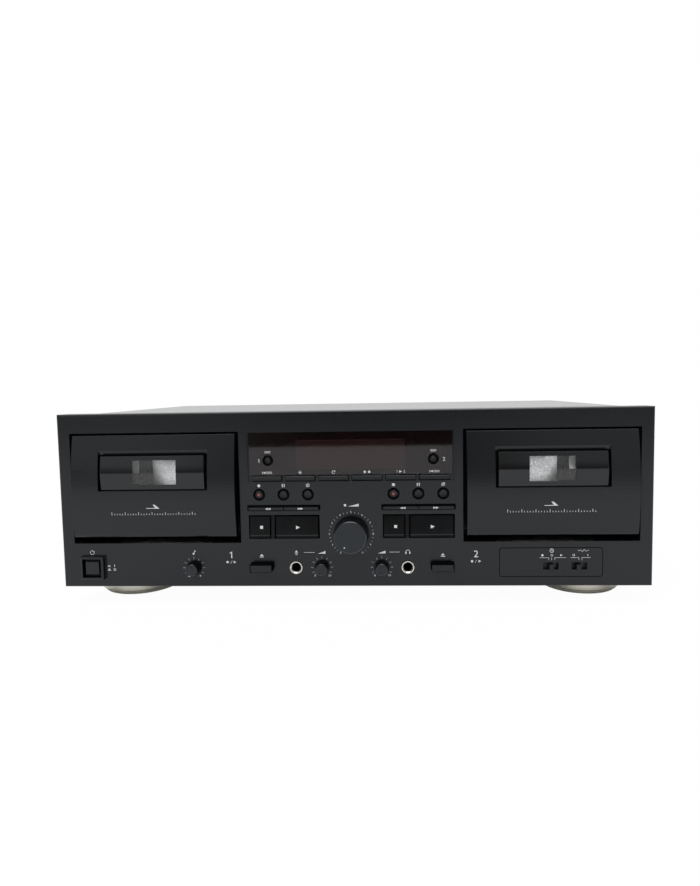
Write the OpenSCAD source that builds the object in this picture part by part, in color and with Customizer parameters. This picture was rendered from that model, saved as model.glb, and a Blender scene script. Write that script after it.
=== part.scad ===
// Twin cassette deck. A flat cabinet on four round feet carries two tilting cassette doors, a display
// and a block of keys between them, level knobs and jacks along the bottom, and sockets at the rear.
// Lengths are millimetres. X runs to the right, -Y is the front, Z is up and Z = 0 is the table.

/* [Cabinet] */
// Width across the front panel
overall_w = 435; // [430:1:460]
// Height from the table to the top of the front panel
overall_h = 145; // [143:1:165]
// Depth from the face of the record level knob to the tips of the rear sockets
overall_d = 285.5; // [270:0.5:330]
// Height of the feet
foot_h = 15; // [10:0.5:17]
// Radius of a foot at its widest
foot_r = 33; // [24:0.5:34]
// Distance of each foot's middle from the side of the front panel
foot_side = 37.1; // [36:0.1:60]
// Distance of the front feet behind the front face of the panel
foot_front = 56; // [51:1:80]
// Distance of the rear feet in front of the rear panel
foot_rear = 45; // [36:1:70]

/* [Case] */
// Thickness of the steel sheet of cover, tray and rear panel
sheet_t = 1; // [0.8:0.1:1.5]
// Step from the edge of the front panel down to the cover
cover_step = 1.4; // [1.4:0.1:2]
// Outer radius of the cover's top bends
cover_bend = 2.5; // [2:0.1:4]
// Height of the tray's side lips
tray_lip = 16; // [14:1:24]
// Width of the cover's rear fold
rear_fold = 10; // [8:0.5:14]
// Wall of the front panel
panel_t = 3; // [2.8:0.1:3.4]
// Depth of the front panel's rim
panel_depth = 16; // [15.5:0.5:18]
// Wall of the rim
rim_t = 3; // [2.5:0.1:3.5]
// Radius of the front panel's edges
panel_edge = 1.6; // [1:0.1:2.2]

/* [Cassette wells] */
// Width of the front panel outside a door opening
side_w = 9.3; // [8.8:0.1:9.8]
// Width of a door opening
opening_w = 126.4; // [125.5:0.1:127]
// Height of a door opening
opening_h = 82.6; // [82:0.1:83.2]
// Height of the front panel above a door opening
brow_h = 14.2; // [13.8:0.1:14.6]
// Depth of the well from the panel's front face to its back plate
well_u = 19; // [18.8:0.1:20]
// Wall of the well
well_t = 2; // [1.6:0.1:2.2]
// Thickness of the well's back plate
well_back = 2.5; // [2:0.1:3]
// Height of the two reel axes above the opening's lower edge
hub_z = 49.8; // [49:0.1:51]
// Half the distance between the two reel axes
hub_x = 21.25; // [21:0.05:21.5]
// Distance of the capstan to the right of the centre line
capstan_x = 23; // [22:0.5:24]
// Height of the capstan above the opening's lower edge
capstan_z = 24; // [23.6:0.1:25]

/* [Cassette doors] */
// Gap beside a door
door_side_gap = 2.4; // [1.8:0.1:2.6]
// Gap above a door
door_top_gap = 1.5; // [1.2:0.1:2]
// Gap below a door, in which its lower edge swings
door_foot_gap = 4.9; // [4.7:0.1:5.2]
// How far the door's curved face stands in front of the panel
door_bulge = 5.5; // [4.5:0.1:5.8]
// Radius of the door's curved face
door_curve = 200; // [190:1:240]
// Height of the foremost line of the face above the door's lower edge
door_peak = 30; // [28:0.5:34]
// Wall of the door
door_skin = 2.2; // [1.8:0.1:2.4]
// Radius of the door's lower front edge
door_round = 3; // [2:0.1:3.4]
// Radius of the door's upper front edge
door_brow = 0.8; // [0.4:0.1:1.2]
// Depth of the hinge axis behind the panel's front face
hinge_u = 5.5; // [5.3:0.1:6]
// Height of the hinge axis above the opening's lower edge
hinge_z = 8.8; // [8.4:0.1:9]
// Radius of the hinge pins
pin_r = 1.5; // [1.2:0.1:1.7]

/* [Door windows] */
// Width of a window pane
pane_w = 77; // [74:0.5:78]
// Height of a window pane
pane_h = 24.6; // [23:0.1:25]
// Height of the pane's middle above the opening's lower edge
pane_z = 53.5; // [53:0.1:54.5]
// Radius of the pane's bowed face
pane_curve = 26; // [24:0.5:32]
// How far the bowed face stands in front of the panel
pane_reach = 5.4; // [4.8:0.1:5.6]
// Wall of the pane
pane_skin = 1.8; // [1.4:0.1:2]
// Gap between the pane and the sides of its recess
pane_gap = 2.2; // [1.4:0.1:2.4]
// Height of the bevel above the pane
pane_bevel = 2.9; // [2.4:0.1:3.6]
// Depth of the bevel above the pane
pane_bevel_in = 1.1; // [0.8:0.1:1.6]
// Gap above the pane
pane_brow = 1.1; // [0.6:0.1:1.4]
// Gap below the pane
pane_sill = 0.9; // [0.6:0.1:1.8]
// Width of the pane's mounting flange
pane_flange = 5; // [4:0.5:6]

/* [Cassette holders] */
// Width of the slot for a cassette
slot_w = 102.4; // [101.5:0.1:103]
// Depth of the slot for a cassette
slot_t = 12.2; // [12:0.1:12.4]
// Height of a cassette
slot_h = 63.8; // [63:0.1:64]
// Height of the ledges that carry the cassette, above the opening's lower edge
slot_z = 16.3; // [16:0.1:16.8]
// Wall of the holder's front plate
holder_t = 1.5; // [1.2:0.1:1.6]
// Wall of the holder's rails, lips and ledges
rail_t = 1.4; // [1.2:0.1:1.6]

/* [Display and keys] */
// Width of the display recess
recess_w = 150.6; // [150:0.1:152]
// Height of the recess's lower edge above the panel's lower edge
recess_v = 78.7; // [78.4:0.1:79]
// Height of the display recess
recess_h = 36.5; // [36.2:0.1:37]
// Depth of the display recess
recess_u = 0.8; // [0.5:0.1:1]
// Width of the display window
window_w = 148.5; // [147:0.1:149]
// Height of the display window
window_h = 31.2; // [30.5:0.1:31.4]
// Height of the display window's middle above the panel's lower edge
window_v = 98.9; // [98.8:0.1:99]
// Thickness of the display window
window_t = 1.6; // [1.4:0.1:1.6]
// Pitch of the row of function keys
function_pitch = 24.5; // [24:0.1:25]
// Width of a function key
function_w = 21.6; // [20:0.1:21.9]
// Height of a function key
function_h = 3.3; // [2.8:0.1:3.4]
// Height of the row of function keys above the panel's lower edge
function_v = 81; // [80.8:0.1:81.1]
// How far a function key stands in front of the panel
function_reach = 1.6; // [1:0.1:2.4]
// Distance of each counter button from the middle
counter_x = 60.45; // [58:0.05:62]
// Height of the counter buttons above the panel's lower edge
counter_v = 94.25; // [92:0.05:97]
// Radius of a counter button
counter_r = 2.2; // [1.8:0.1:2.5]
// Radius of the hole around a counter button in the display window
counter_ring = 4; // [3.6:0.1:4.4]
// Distance of each deck's block of keys from the middle
block_x = 49.4; // [49:0.1:49.8]
// Pitch of the round buttons
round_pitch = 18.05; // [17:0.05:18.5]
// Height of the round buttons above the panel's lower edge
round_v = 68.95; // [68.5:0.05:69.4]
// Radius of a round button
round_r = 2.8; // [2.4:0.1:3]
// Radius of the dish around a round button
round_dish = 4.5; // [4:0.1:4.8]
// Width of the pair of wind keys
wind_w = 53; // [52:0.1:53.4]
// Height of a wind key
wind_h = 4.2; // [3.6:0.1:4.4]
// Height of the wind keys' middle above the panel's lower edge
wind_v = 59.3; // [59:0.1:59.8]
// How far a wind key stands in front of the panel
wind_reach = 1.8; // [1.2:0.1:2.4]
// Width of the pocket for the stop and play keys
pocket_w = 52.4; // [52:0.1:53]
// Height of the stop and play keys' middle above the panel's lower edge
play_v = 45; // [44.8:0.1:45.4]
// Height of the stop and play keys
play_h = 16.8; // [16:0.1:17]
// Width of a stop key
stop_w = 15.6; // [14:0.1:16]
// Width of the rib between the stop and play keys
rib_w = 3; // [2.4:0.1:3.6]
// How far the rib lies behind the panel's face
rib_in = 1.2; // [0.6:0.1:1.6]
// How far the lower edge of a play or stop key stands in front of the panel
play_low = 1.2; // [0.8:0.1:1.6]
// How far the upper edge of a play or stop key lies behind the panel's face
play_high = 0.5; // [0.2:0.1:0.8]

/* [Knobs, jacks and switches] */
// Height of the record level knob above the panel's lower edge
level_v = 39.5; // [39:0.1:40]
// Radius of the record level knob at the panel
level_r = 13; // [12:0.1:13.6]
// How far the record level knob stands in front of the panel
level_reach = 12; // [9:0.5:14]
// Radius of the record level knob's shaft
level_shaft = 3; // [2.5:0.1:3.2]
// Distance of the mic and phones level knobs from the middle
small_x = 22.05; // [21.5:0.05:23]
// Distance of the pitch knob from the left deck's centre line, towards the middle
pitch_in = 27.1; // [25:0.1:29]
// Height of the row of small knobs and jacks above the panel's lower edge
row_v = 14.5; // [14:0.1:15]
// Radius of a small knob at the panel
small_r = 5.6; // [4.8:0.1:5.8]
// How far a small knob stands in front of the panel
small_reach = 7; // [6:0.1:9]
// Radius of a small knob's shaft
small_shaft = 2; // [1.6:0.1:2.4]
// Distance of the jacks from the middle
jack_x = 41.2; // [40:0.1:43]
// Outer radius of a jack's metal bush
jack_bush = 4.6; // [4.4:0.05:5.2]
// Radius of a jack's bore
jack_bore = 3.25; // [3.2:0.05:3.3]
// Length of a jack's bore
jack_deep = 20; // [16:1:24]
// Distance of the eject buttons from the middle
eject_x = 66.5; // [65:0.1:67]
// Width of an eject button
eject_w = 16; // [14:0.1:17]
// Height of an eject button at the panel
eject_h = 5.3; // [4.8:0.1:5.6]
// Height of the eject buttons' middle above the panel's lower edge
eject_v = 15.5; // [15:0.1:16]
// How far an eject button stands in front of the panel
eject_reach = 7; // [5:0.1:8]
// Distance of the power button outside the left deck's centre line
power_out = 49.3; // [48:0.1:50.5]
// Height of the power button above the panel's lower edge
power_v = 15.1; // [14.6:0.1:15.6]
// Outer width of the power button's bezel
bezel_w = 17.4; // [17:0.1:18]
// Inner width of the power button's bezel
bezel_in = 14.1; // [13.4:0.1:14.4]
// How far the bezel stands in front of the panel
bezel_reach = 3.4; // [2.6:0.1:4]
// Radius of the bezel's outer edges
bezel_edge = 1; // [0.6:0.1:1.4]
// Width of the power button's face
power_w = 10; // [9:0.1:11]
// Distance of the timer switch from the right deck's centre line, towards the middle
timer_in = 0.2; // [0:0.1:2]
// Distance of the noise reduction switch outside the right deck's centre line
noise_out = 20.25; // [19:0.05:22]
// Width of a slide switch's slot
slide_w = 11; // [10.5:0.1:11.6]
// Height of a slide switch's slot
slide_h = 5.2; // [4.8:0.1:5.6]
// Width of the engraved frame around the slide switches
frame_w = 74.5; // [70:0.5:80]
// Gap between the engraved frame and the door opening above it
frame_gap = 4.5; // [3:0.1:6]
// Height of the engraved frame's lower edge above the panel's lower edge
frame_v = 6.9; // [5:0.1:8]
// Width of the engraved line
frame_line = 0.5; // [0.3:0.1:0.8]
// Width of a slide switch's lever
lever_w = 3.2; // [2.8:0.1:3.6]
// How far a slide switch's lever stands in front of the panel
lever_reach = 2.6; // [1.6:0.1:3.4]

/* [Rear] */
// Radius of a phono socket's sleeve
phono_r = 4.15; // [4.05:0.05:4.25]
// Radius of a phono socket's bore
phono_bore = 1.65; // [1.55:0.05:1.75]
// How far a phono socket stands behind the rear panel
phono_reach = 9.5; // [8:0.5:12]
// Distance of the first phono sockets from the side of the cabinet
phono_side = 67.5; // [52:0.5:110]
// Pitch of the phono sockets
phono_pitch = 20; // [16:0.5:24]
// Height of the phono sockets above the lower edge of the case
phono_v = 52; // [40:1:80]
// Distance of the mains inlet from the side of the cabinet
inlet_side = 52.5; // [32:0.5:90]
// Height of the mains inlet above the lower edge of the case
inlet_v = 32; // [28:1:60]
// Width of the mains inlet's recess
inlet_w = 17.4; // [17:0.1:18]
// Height of the mains inlet's recess
inlet_h = 8.8; // [8.6:0.1:9.4]

/* [Fits] */
// Gap around a key in its aperture
key_gap = 0.45; // [0.3:0.05:0.55]
// Gap around a shaft in its bearing
run_gap = 0.06; // [0.04:0.01:0.08]
// Gap between neighbouring parts that are put together
seat_gap = 0.2; // [0.15:0.05:0.25]

/* [Hidden] */
$fn = 48;
eps = 0.01;

screw_r = 1.4;
screw_head = 2.8;
screw_len = 5;
screw_top = 1.3;

front_y = -overall_d / 2 + level_reach;
rear_y = overall_d / 2 - phono_reach;
case_d = rear_y - front_y;
panel_h = overall_h - foot_h;
cover_w = overall_w - 2 * cover_step;
cover_in = cover_w / 2 - sheet_t;
cover_top = panel_h - cover_step;
foot_x = overall_w / 2 - foot_side;
phono_x = overall_w / 2 - phono_side;
inlet_x = overall_w / 2 - inlet_side;

// Panel height, strip below the openings and middle section that the controls are laid out for;
// on another panel the rows spread with the height and the columns with the middle section
layout_h = 130;
layout_strip = 33.2;
layout_mid = 163.6;
rise = panel_h / layout_h;
opening_v = panel_h - rise * brow_h - opening_h;
lift = opening_v / layout_strip;
deck_x = overall_w / 2 - side_w - opening_w / 2;
mid_w = 2 * deck_x - opening_w;
spread = mid_w / layout_mid;

recess_wide = spread * recess_w;
recess_low = rise * recess_v;
recess_high = rise * recess_h;
window_wide = spread * window_w;
window_high = rise * window_h;
window_mid = rise * window_v;
display_half = spread * 37;
display_down = 10.9;
display_up = 9.1;
function_step = spread * function_pitch;
function_wide = spread * function_w;
function_row = rise * function_v;
counter_at = spread * counter_x;
counter_row = rise * counter_v;
block_at = spread * block_x;
round_step = spread * round_pitch;
round_row = rise * round_v;
wind_wide = spread * wind_w;
wind_row = rise * wind_v;
pocket_wide = spread * pocket_w;
stop_wide = spread * stop_w;
play_row = rise * play_v;
level_row = rise * level_v;
small_at = spread * small_x;
jack_at = spread * jack_x;
jack_half = 5.4;
jack_room = 0.6;
eject_at = spread * eject_x;
eject_wide = spread * eject_w;
eject_row = lift * eject_v;
knob_row = lift * row_v;
power_row = lift * power_v;
power_body = 6;
pitch_x = deck_x - pitch_in;
power_x = deck_x + power_out;
timer_x = deck_x - timer_in;
noise_x = deck_x + noise_out;
frame_h = opening_v - frame_gap - frame_v;
frame_round = 2.4;
post_r = 2.6;
thin_post = 2.4;
post_in = 9.8;

door_w = opening_w - 2 * door_side_gap;
door_z0 = door_foot_gap;
door_z1 = opening_h - door_top_gap;
door_peak_z = door_z0 + door_peak;
door_back = panel_t;
recess_in_w = pane_w + 2 * pane_gap;
recess_z0 = pane_z - pane_h / 2 - pane_sill;
recess_z1 = pane_z + pane_h / 2 + pane_brow;
bevel_u = door_face(recess_z1 + pane_bevel) + pane_bevel_in;
flange_u0 = 0.6;
flange_u1 = 2.2;
flange_w = pane_w + 2 * pane_flange;
flange_z0 = pane_z - pane_h / 2 - pane_flange;
flange_z1 = pane_z + pane_h / 2 + pane_flange;

slot_u0 = door_back + holder_t;
slot_u1 = slot_u0 + slot_t;
holder_top = slot_z + slot_h - 0.6;
holder_half = door_w / 2 - door_skin - 0.6;
arm_x = holder_half - 2.5;

well_in = opening_w / 2 + 0.3;
well_out = well_in + well_t;
well_low = -0.3 - well_t;
well_high = opening_h + 0.3 + well_t;
pad_half = 8;
pad_rise = 13;
ear_u = 8;
ear_t = 2;
ear_x = 37;
ear_half = 3.6;
ear_room = 0.4;
ear_h = 2 * (screw_head + ear_room);
ear_low = well_low - ear_h / 2;
ear_high = well_high + ear_h / 2;

head_u0 = well_u - 1.6;
head_u1 = well_u - 0.4;
head_travel = 4.5;
guide_x = 31;
slider_half = 36;
slider_low = 1.6;
slider_top = 14;
head_half = 7;
head_reach = 10.5;
erase_x = 21;
fork_x = 9.4;
guide_z = 9.7;
guide_r = 1.5;
roller_r = 5.2;
capstan_r = 1.25;
capstan_reach = 8.6;
roller_z = capstan_z - capstan_r - roller_r - head_travel - 0.6;
spindle_r = 1.5;
wheel_r = 19;
drive_u = well_u + well_back;
wheel_u0 = drive_u + 1.4;
wheel_u1 = wheel_u0 + 6;
belt_u0 = wheel_u0 + 2;
belt_u1 = wheel_u0 + 4;
bracket_u = wheel_u1 + 1.4;
bracket_t = 1.6;
bracket_half = 50;
bracket_top = 72;
pillar_in = 4;
pillar_r = 2.8;
motor_len = 24;
motor_x = -28;
motor_r = 16;
pulley_r = 4.5;

flange_gap_u = panel_t + seat_gap;
key_flange = 1.4;
key_lip = 0.9;
stem_u = flange_gap_u + key_flange;
switch_u = 9.2;
board_u = 13;
board_t = 1.6;
board_half = deck_x - well_out - 1.2;
slide_board_u = 9;
pot_u = 5;
tact_travel = 1.2;
eject_travel = 3;
power_travel = 4;
window_u0 = 0.4;
window_u1 = window_u0 + window_t;
slide_v = knob_row + 0.4;

wind_key_w = (wind_wide - 0.6) / 2;
play_w = pocket_wide - stop_wide - rib_w - 4 * key_gap;
stop_dx = -pocket_wide / 2 + key_gap + stop_wide / 2;
play_dx = pocket_wide / 2 - key_gap - play_w / 2;

tray_z = foot_h + sheet_t;
tray_front = front_y + panel_depth + seat_gap;
tray_half = cover_in - seat_gap;
flange_in = 47;
flange_out = 53;
standoff_h = 8;
main_x0 = -60;
phono_half = 9;
phono_back = 12;
phono_deep = 9;
phono_collar = 5;
main_x1 = tray_half - 29.9;
main_y0 = front_y + 85;
main_y1 = rear_y - 25;
main_inset = 6;
can_x = 28;
can_y = 30;
can_pitch = 22;
can_r = 6.5;
can_h = 24;
cap_x = 40;
cap_y = 24;
cap_pitch = 34;
cap_r = 4;
cap_h = 14;
chip_x = 60;
chip_y = 48;
chip_pitch = 46;
chip_w = 30;
chip_d = 14;
chip_h = 5;
sink_x = 140;
sink_y = 34;
sink_w = 56;
sink_d = 16;
sink_h = 30;
core_x = tray_half - 74.9;
core_y = 85;
core_foot = 84;
core_w = 64;
core_d = 34;
core_h = 54;
coil_w = 42;
coil_d = 54;
coil_h = 34;
side_screw_z = foot_h + tray_lip - 6;
side_screw_front = tray_front + 45;
side_screw_rear = rear_y - 30;
rear_screw_x = tray_half - 39.9;
rear_screw_z = foot_h + cover_top - rear_fold / 2 - 0.4;

case_c = [0.17, 0.17, 0.18];
panel_c = [0.14, 0.14, 0.15];
key_c = [0.2, 0.2, 0.21];
glass_c = [0.12, 0.07, 0.07];
metal_c = [0.78, 0.77, 0.74];
foot_c = [0.72, 0.7, 0.63];
board_c = [0.1, 0.3, 0.18];
plastic_c = [0.1, 0.1, 0.1];
pale_c = [0.8, 0.8, 0.78];
brass_c = [0.75, 0.62, 0.3];

// Sign of a deck: deck 1 is on the left, deck 2 on the right
function side(n) = n == 1 ? -1 : 1;

// Depth of the door's front face at a height above the opening's lower edge
function door_face(z) = door_curve - door_bulge - sqrt(pow(door_curve, 2) - pow(z - door_peak_z, 2));

// Outline with two rounded front corners, as points of depth and length
function soft_front(long, deep, r) = concat(
    [[deep, 0]],
    [for (a = [0:15:90]) [r - r * sin(a), r - r * cos(a)]],
    [for (a = [0:15:90]) [r - r * cos(a), long - r + r * sin(a)]],
    [[deep, long]]);

// Outline of a rectangle with rounded corners about the origin
function soft_rect(w, h, r) = concat(
    [for (a = [0:15:90]) [w / 2 - r + r * cos(a), h / 2 - r + r * sin(a)]],
    [for (a = [90:15:180]) [-w / 2 + r + r * cos(a), h / 2 - r + r * sin(a)]],
    [for (a = [180:15:270]) [-w / 2 + r + r * cos(a), -h / 2 + r + r * sin(a)]],
    [for (a = [270:15:360]) [w / 2 - r + r * cos(a), -h / 2 + r + r * sin(a)]]);

// Side outline of the door's face, moved back by a wall and cut between two heights with round edges
function door_outline(z0, z1, wall, r, top) = concat(
    [[door_back + 1, z1]],
    [for (a = [90:-15:15]) [door_face(z1 - top) + wall + top * (1 - cos(a)), z1 - top + top * sin(a)]],
    [for (i = [0:24]) let (z = z1 - top - i * (z1 - top - z0 - r) / 24) [door_face(z) + wall, z]],
    [for (a = [15:15:90]) [door_face(z0 + r) + wall + r * (1 - cos(a)), z0 + r - r * sin(a)]],
    [[door_back + 1, z0]]);

module on_panel(x, v) translate([x, front_y, foot_h + v]) children();

module on_deck(n) translate([side(n) * deck_x, front_y, foot_h + opening_v]) children();

module block(x0, x1, u0, u1, z0, z1) translate([x0, u0, z0]) cube([x1 - x0, u1 - u0, z1 - z0]);

module rod(r, u0, u1) translate([0, u0, 0]) rotate([-90, 0, 0]) cylinder(r = r, h = u1 - u0);

module cone(r0, r1, u0, u1) translate([0, u0, 0]) rotate([-90, 0, 0])
    cylinder(r1 = r0, r2 = r1, h = u1 - u0);

module turned() rotate([-90, 0, 0]) rotate_extrude() children();

module along_x(w) translate([-w / 2, 0, 0]) rotate([90, 0, 90]) linear_extrude(w) children();

module along_y(u0, u1) translate([0, u1, 0]) rotate([90, 0, 0]) linear_extrude(u1 - u0) children();

// Pan head screw with a cross slot; the seat of its head is at z = 0 and it points down
module screw() difference() {
    union() {
        cylinder(r1 = screw_head, r2 = screw_head - 0.6, h = screw_top);
        translate([0, 0, -screw_len]) cylinder(r = screw_r, h = screw_len + 0.5);
    }
    translate([-1.8, -0.4, screw_top - 0.7]) cube([3.6, 0.8, 2]);
    translate([-0.4, -1.8, screw_top - 0.7]) cube([0.8, 3.6, 2]);
}

// Front panel

module panel_shell() difference() {
    intersection() {
        along_x(overall_w) polygon(soft_front(panel_h, panel_depth, panel_edge));
        linear_extrude(panel_h)
            polygon([for (p = soft_front(overall_w, panel_depth, panel_edge)) [p[1] - overall_w / 2, p[0]]]);
    }
    block(-overall_w / 2 + rim_t, overall_w / 2 - rim_t, panel_t, panel_depth + 1, rim_t, panel_h - rim_t);
}

module power_bezel() translate([-power_x, -bezel_reach, power_row - bezel_w / 2]) intersection() {
    along_x(bezel_w) polygon(soft_front(bezel_w, bezel_reach + 0.5, bezel_edge));
    linear_extrude(bezel_w) polygon([
        for (p = soft_front(bezel_w, bezel_reach + 0.5, bezel_edge)) [p[1] - bezel_w / 2, p[0]]]);
}

module board_post(x, v, r, u1) translate([x, 0, v]) rod(r, panel_t - 0.5, u1);

module panel_posts() {
    board_post(0, rise * 68, 3, board_u);
    board_post(0, rise * 24, thin_post, board_u);
    for (s = [-1, 1]) {
        board_post(s * (mid_w / 2 - post_in), lift * 27, post_r, board_u);
        board_post(s * (mid_w / 2 - post_in), panel_h - 9, post_r, board_u);
    }
    board_post(-deck_x - 10, lift * 14, post_r, board_u);
    board_post(-deck_x - opening_w / 2 - 0.3, lift * 24, thin_post, board_u);
    board_post(deck_x - 13, lift * 12, thin_post, slide_board_u);
    board_post(deck_x + 34, lift * 12, thin_post, slide_board_u);
    for (n = [1, 2], s = [-1, 1], z = [ear_low, ear_high])
        translate([side(n) * deck_x + s * ear_x, 0, opening_v + z]) rod(2.9, panel_t - 0.5, ear_u);
}

module key_hole(x, v, w, h) translate([x, 0, v])
    block(-w / 2 - key_gap, w / 2 + key_gap, -5, panel_t + 1, -h / 2 - key_gap, h / 2 + key_gap);

module display_cuts() {
    block(-recess_wide / 2, recess_wide / 2, -1, recess_u, recess_low, recess_low + recess_high);
    block(-window_wide / 2 - seat_gap, window_wide / 2 + seat_gap, -1, window_u1,
        window_mid - window_high / 2 - seat_gap, window_mid + window_high / 2 + seat_gap);
    block(-display_half - 3, display_half + 3, 0, panel_t + 1,
        window_mid - display_down - 1, window_mid + display_up + 1);
    for (s = [-1, 1]) translate([s * counter_at, 0, counter_row]) rod(counter_r + key_gap, 0, panel_t + 1);
    for (i = [0:5]) key_hole((i - 2.5) * function_step, function_row, function_wide, function_h);
}

module block_cuts(s) {
    for (i = [-1:1]) translate([s * block_at + i * round_step, 0, round_row]) {
        rod(round_r + key_gap, -1, panel_t + 1);
        cone(round_dish, round_r + 0.6, -eps, 1.6);
    }
    key_hole(s * block_at, wind_row, wind_wide, wind_h);
    key_hole(s * block_at + stop_dx, play_row, stop_wide, play_h);
    key_hole(s * block_at + play_dx, play_row, play_w, play_h);
    translate([s * block_at + stop_dx + stop_wide / 2 + key_gap + rib_w / 2, 0, play_row])
        block(-rib_w / 2 - eps, rib_w / 2 + eps, -1, rib_in, -play_h / 2 - key_gap, play_h / 2 + key_gap);
    translate([s * eject_at, 0, eject_row])
        block(-eject_wide / 2 - key_gap, eject_wide / 2 + key_gap, -1, panel_t + 1,
            -eject_h / 2 - key_gap, eject_h / 2 + key_gap);
    translate([s * small_at, 0, knob_row]) rod(small_shaft + 0.6, -1, panel_t + 1);
    translate([s * jack_at, 0, knob_row]) rod(jack_bush + seat_gap, -1, panel_t + 1);
}

module panel_cuts() {
    for (n = [1, 2])
        block(side(n) * deck_x - opening_w / 2, side(n) * deck_x + opening_w / 2, -1, panel_t + 1,
            opening_v, opening_v + opening_h);
    display_cuts();
    for (s = [-1, 1]) block_cuts(s);
    translate([0, 0, level_row]) rod(level_shaft + 0.6, -1, panel_t + 1);
    translate([-pitch_x, 0, knob_row]) rod(small_shaft + 0.6, -1, panel_t + 1);
    translate([-power_x, 0, power_row])
        block(-bezel_in / 2, bezel_in / 2, -9, stem_u + power_travel + 0.6, -bezel_in / 2, bezel_in / 2);
    for (x = [timer_x, noise_x])
        block(x - slide_w / 2, x + slide_w / 2, -1, panel_t + 1,
            slide_v - slide_h / 2, slide_v + slide_h / 2);
    translate([timer_x, 0, frame_v + frame_h / 2]) along_y(-1, 0.4) difference() {
        polygon(soft_rect(frame_w, frame_h, frame_round));
        polygon(soft_rect(frame_w - 2 * frame_line, frame_h - 2 * frame_line, frame_round - frame_line));
    }
    for (n = [1, 2], s = [-1, 1], z = [ear_low, ear_high])
        translate([side(n) * deck_x + s * ear_x, 0, opening_v + z])
            rod(screw_r + run_gap, panel_t - 0.4, ear_u + 1);
}

module front_panel() color(panel_c) on_panel(0, 0) difference() {
    union() {
        panel_shell();
        power_bezel();
        panel_posts();
    }
    panel_cuts();
}

module display_window() color(glass_c) on_panel(0, window_mid) difference() {
    block(-window_wide / 2, window_wide / 2, window_u0, window_u1, -window_high / 2, window_high / 2);
    for (s = [-1, 1])
        translate([s * counter_at, 0, counter_row - window_mid]) rod(counter_ring, 0, window_u1 + 1);
}

// Case

module cover_outline(w, h, r) polygon(concat(
    [[w / 2, 0]],
    [for (a = [0:15:90]) [w / 2 - r + r * cos(a), h - r + r * sin(a)]],
    [for (a = [90:15:180]) [-w / 2 + r + r * cos(a), h - r + r * sin(a)]],
    [[-w / 2, 0]]));

module top_cover() color(case_c) difference() {
    translate([0, 0, foot_h]) union() {
        along_y(tray_front, rear_y) difference() {
            cover_outline(cover_w, cover_top, cover_bend);
            translate([0, -1])
                cover_outline(cover_w - 2 * sheet_t, cover_top - sheet_t + 1, cover_bend - sheet_t);
        }
        along_y(rear_y, rear_y + sheet_t) intersection() {
            cover_outline(cover_w, cover_top, cover_bend);
            translate([-cover_w / 2, cover_top - rear_fold]) square([cover_w, rear_fold]);
        }
    }
    for (s = [-1, 1], y = [side_screw_front, side_screw_rear]) translate([s * cover_w / 2, y, side_screw_z])
        rotate([0, 90, 0]) cylinder(r = screw_r + 0.3, h = 6, center = true);
    for (x = [-rear_screw_x, 0, rear_screw_x])
        translate([x, rear_y, rear_screw_z]) rod(screw_r + 0.3, -3, 3);
}

module chassis_tray() color(metal_c) difference() {
    union() {
        translate([-tray_half, tray_front, foot_h]) cube([2 * tray_half, rear_y - tray_front, sheet_t]);
        for (s = [0, 1]) mirror([s, 0, 0])
            translate([tray_half - sheet_t, tray_front, foot_h])
                cube([sheet_t, rear_y - tray_front - sheet_t - seat_gap, tray_lip]);
        for (s = [0, 1]) mirror([s, 0, 0])
            translate([deck_x - flange_in, tray_front, foot_h])
                cube([flange_in + flange_out, sheet_t, tray_lip + 2]);
        for (x = [main_x0 + main_inset, main_x1 - main_inset])
            for (y = [main_y0 + main_inset, main_y1 - main_inset]) translate([x, y, foot_h])
                cylinder(r = 3.2, h = sheet_t + standoff_h);
    }
    for (s = [-1, 1], y = [side_screw_front, side_screw_rear]) translate([s * tray_half, y, side_screw_z])
        rotate([0, 90, 0]) cylinder(r = screw_r + run_gap, h = 6, center = true);
    for (s = [-1, 1], y = [front_y + foot_front, rear_y - foot_rear])
        translate([s * foot_x, y, foot_h - 1]) cylinder(r = screw_r + run_gap, h = 6);
}

module rear_panel() color(case_c) difference() {
    translate([-tray_half, rear_y - sheet_t, tray_z])
        cube([2 * tray_half, sheet_t, cover_top - 2 * sheet_t - seat_gap]);
    for (x = [-rear_screw_x, 0, rear_screw_x])
        translate([x, rear_y, rear_screw_z]) rod(screw_r + run_gap, -3, 3);
    for (i = [0, 1], j = [0, 1])
        translate([phono_x + i * phono_pitch, rear_y, foot_h + phono_v + j * phono_pitch])
            rod(phono_collar + 0.4, -3, 3);
    translate([-inlet_x, rear_y, foot_h + inlet_v])
        block(-inlet_w / 2 - 2.2, inlet_w / 2 + 2.2, -3, 3, -inlet_h / 2 - 2.2, inlet_h / 2 + 2.2);
}

module feet() color(foot_c) for (s = [-1, 1], y = [front_y + foot_front, rear_y - foot_rear])
    translate([s * foot_x, y, 0]) rotate_extrude() polygon([
        [3, foot_h], [3, foot_h - 4], [6, foot_h - 4], [6, 0], [foot_r - 3.4, 0], [foot_r - 2, 1.4],
        [foot_r - 2, 2.6], [foot_r, 3.6], [foot_r, foot_h - 1], [foot_r - 1, foot_h]]);

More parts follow.
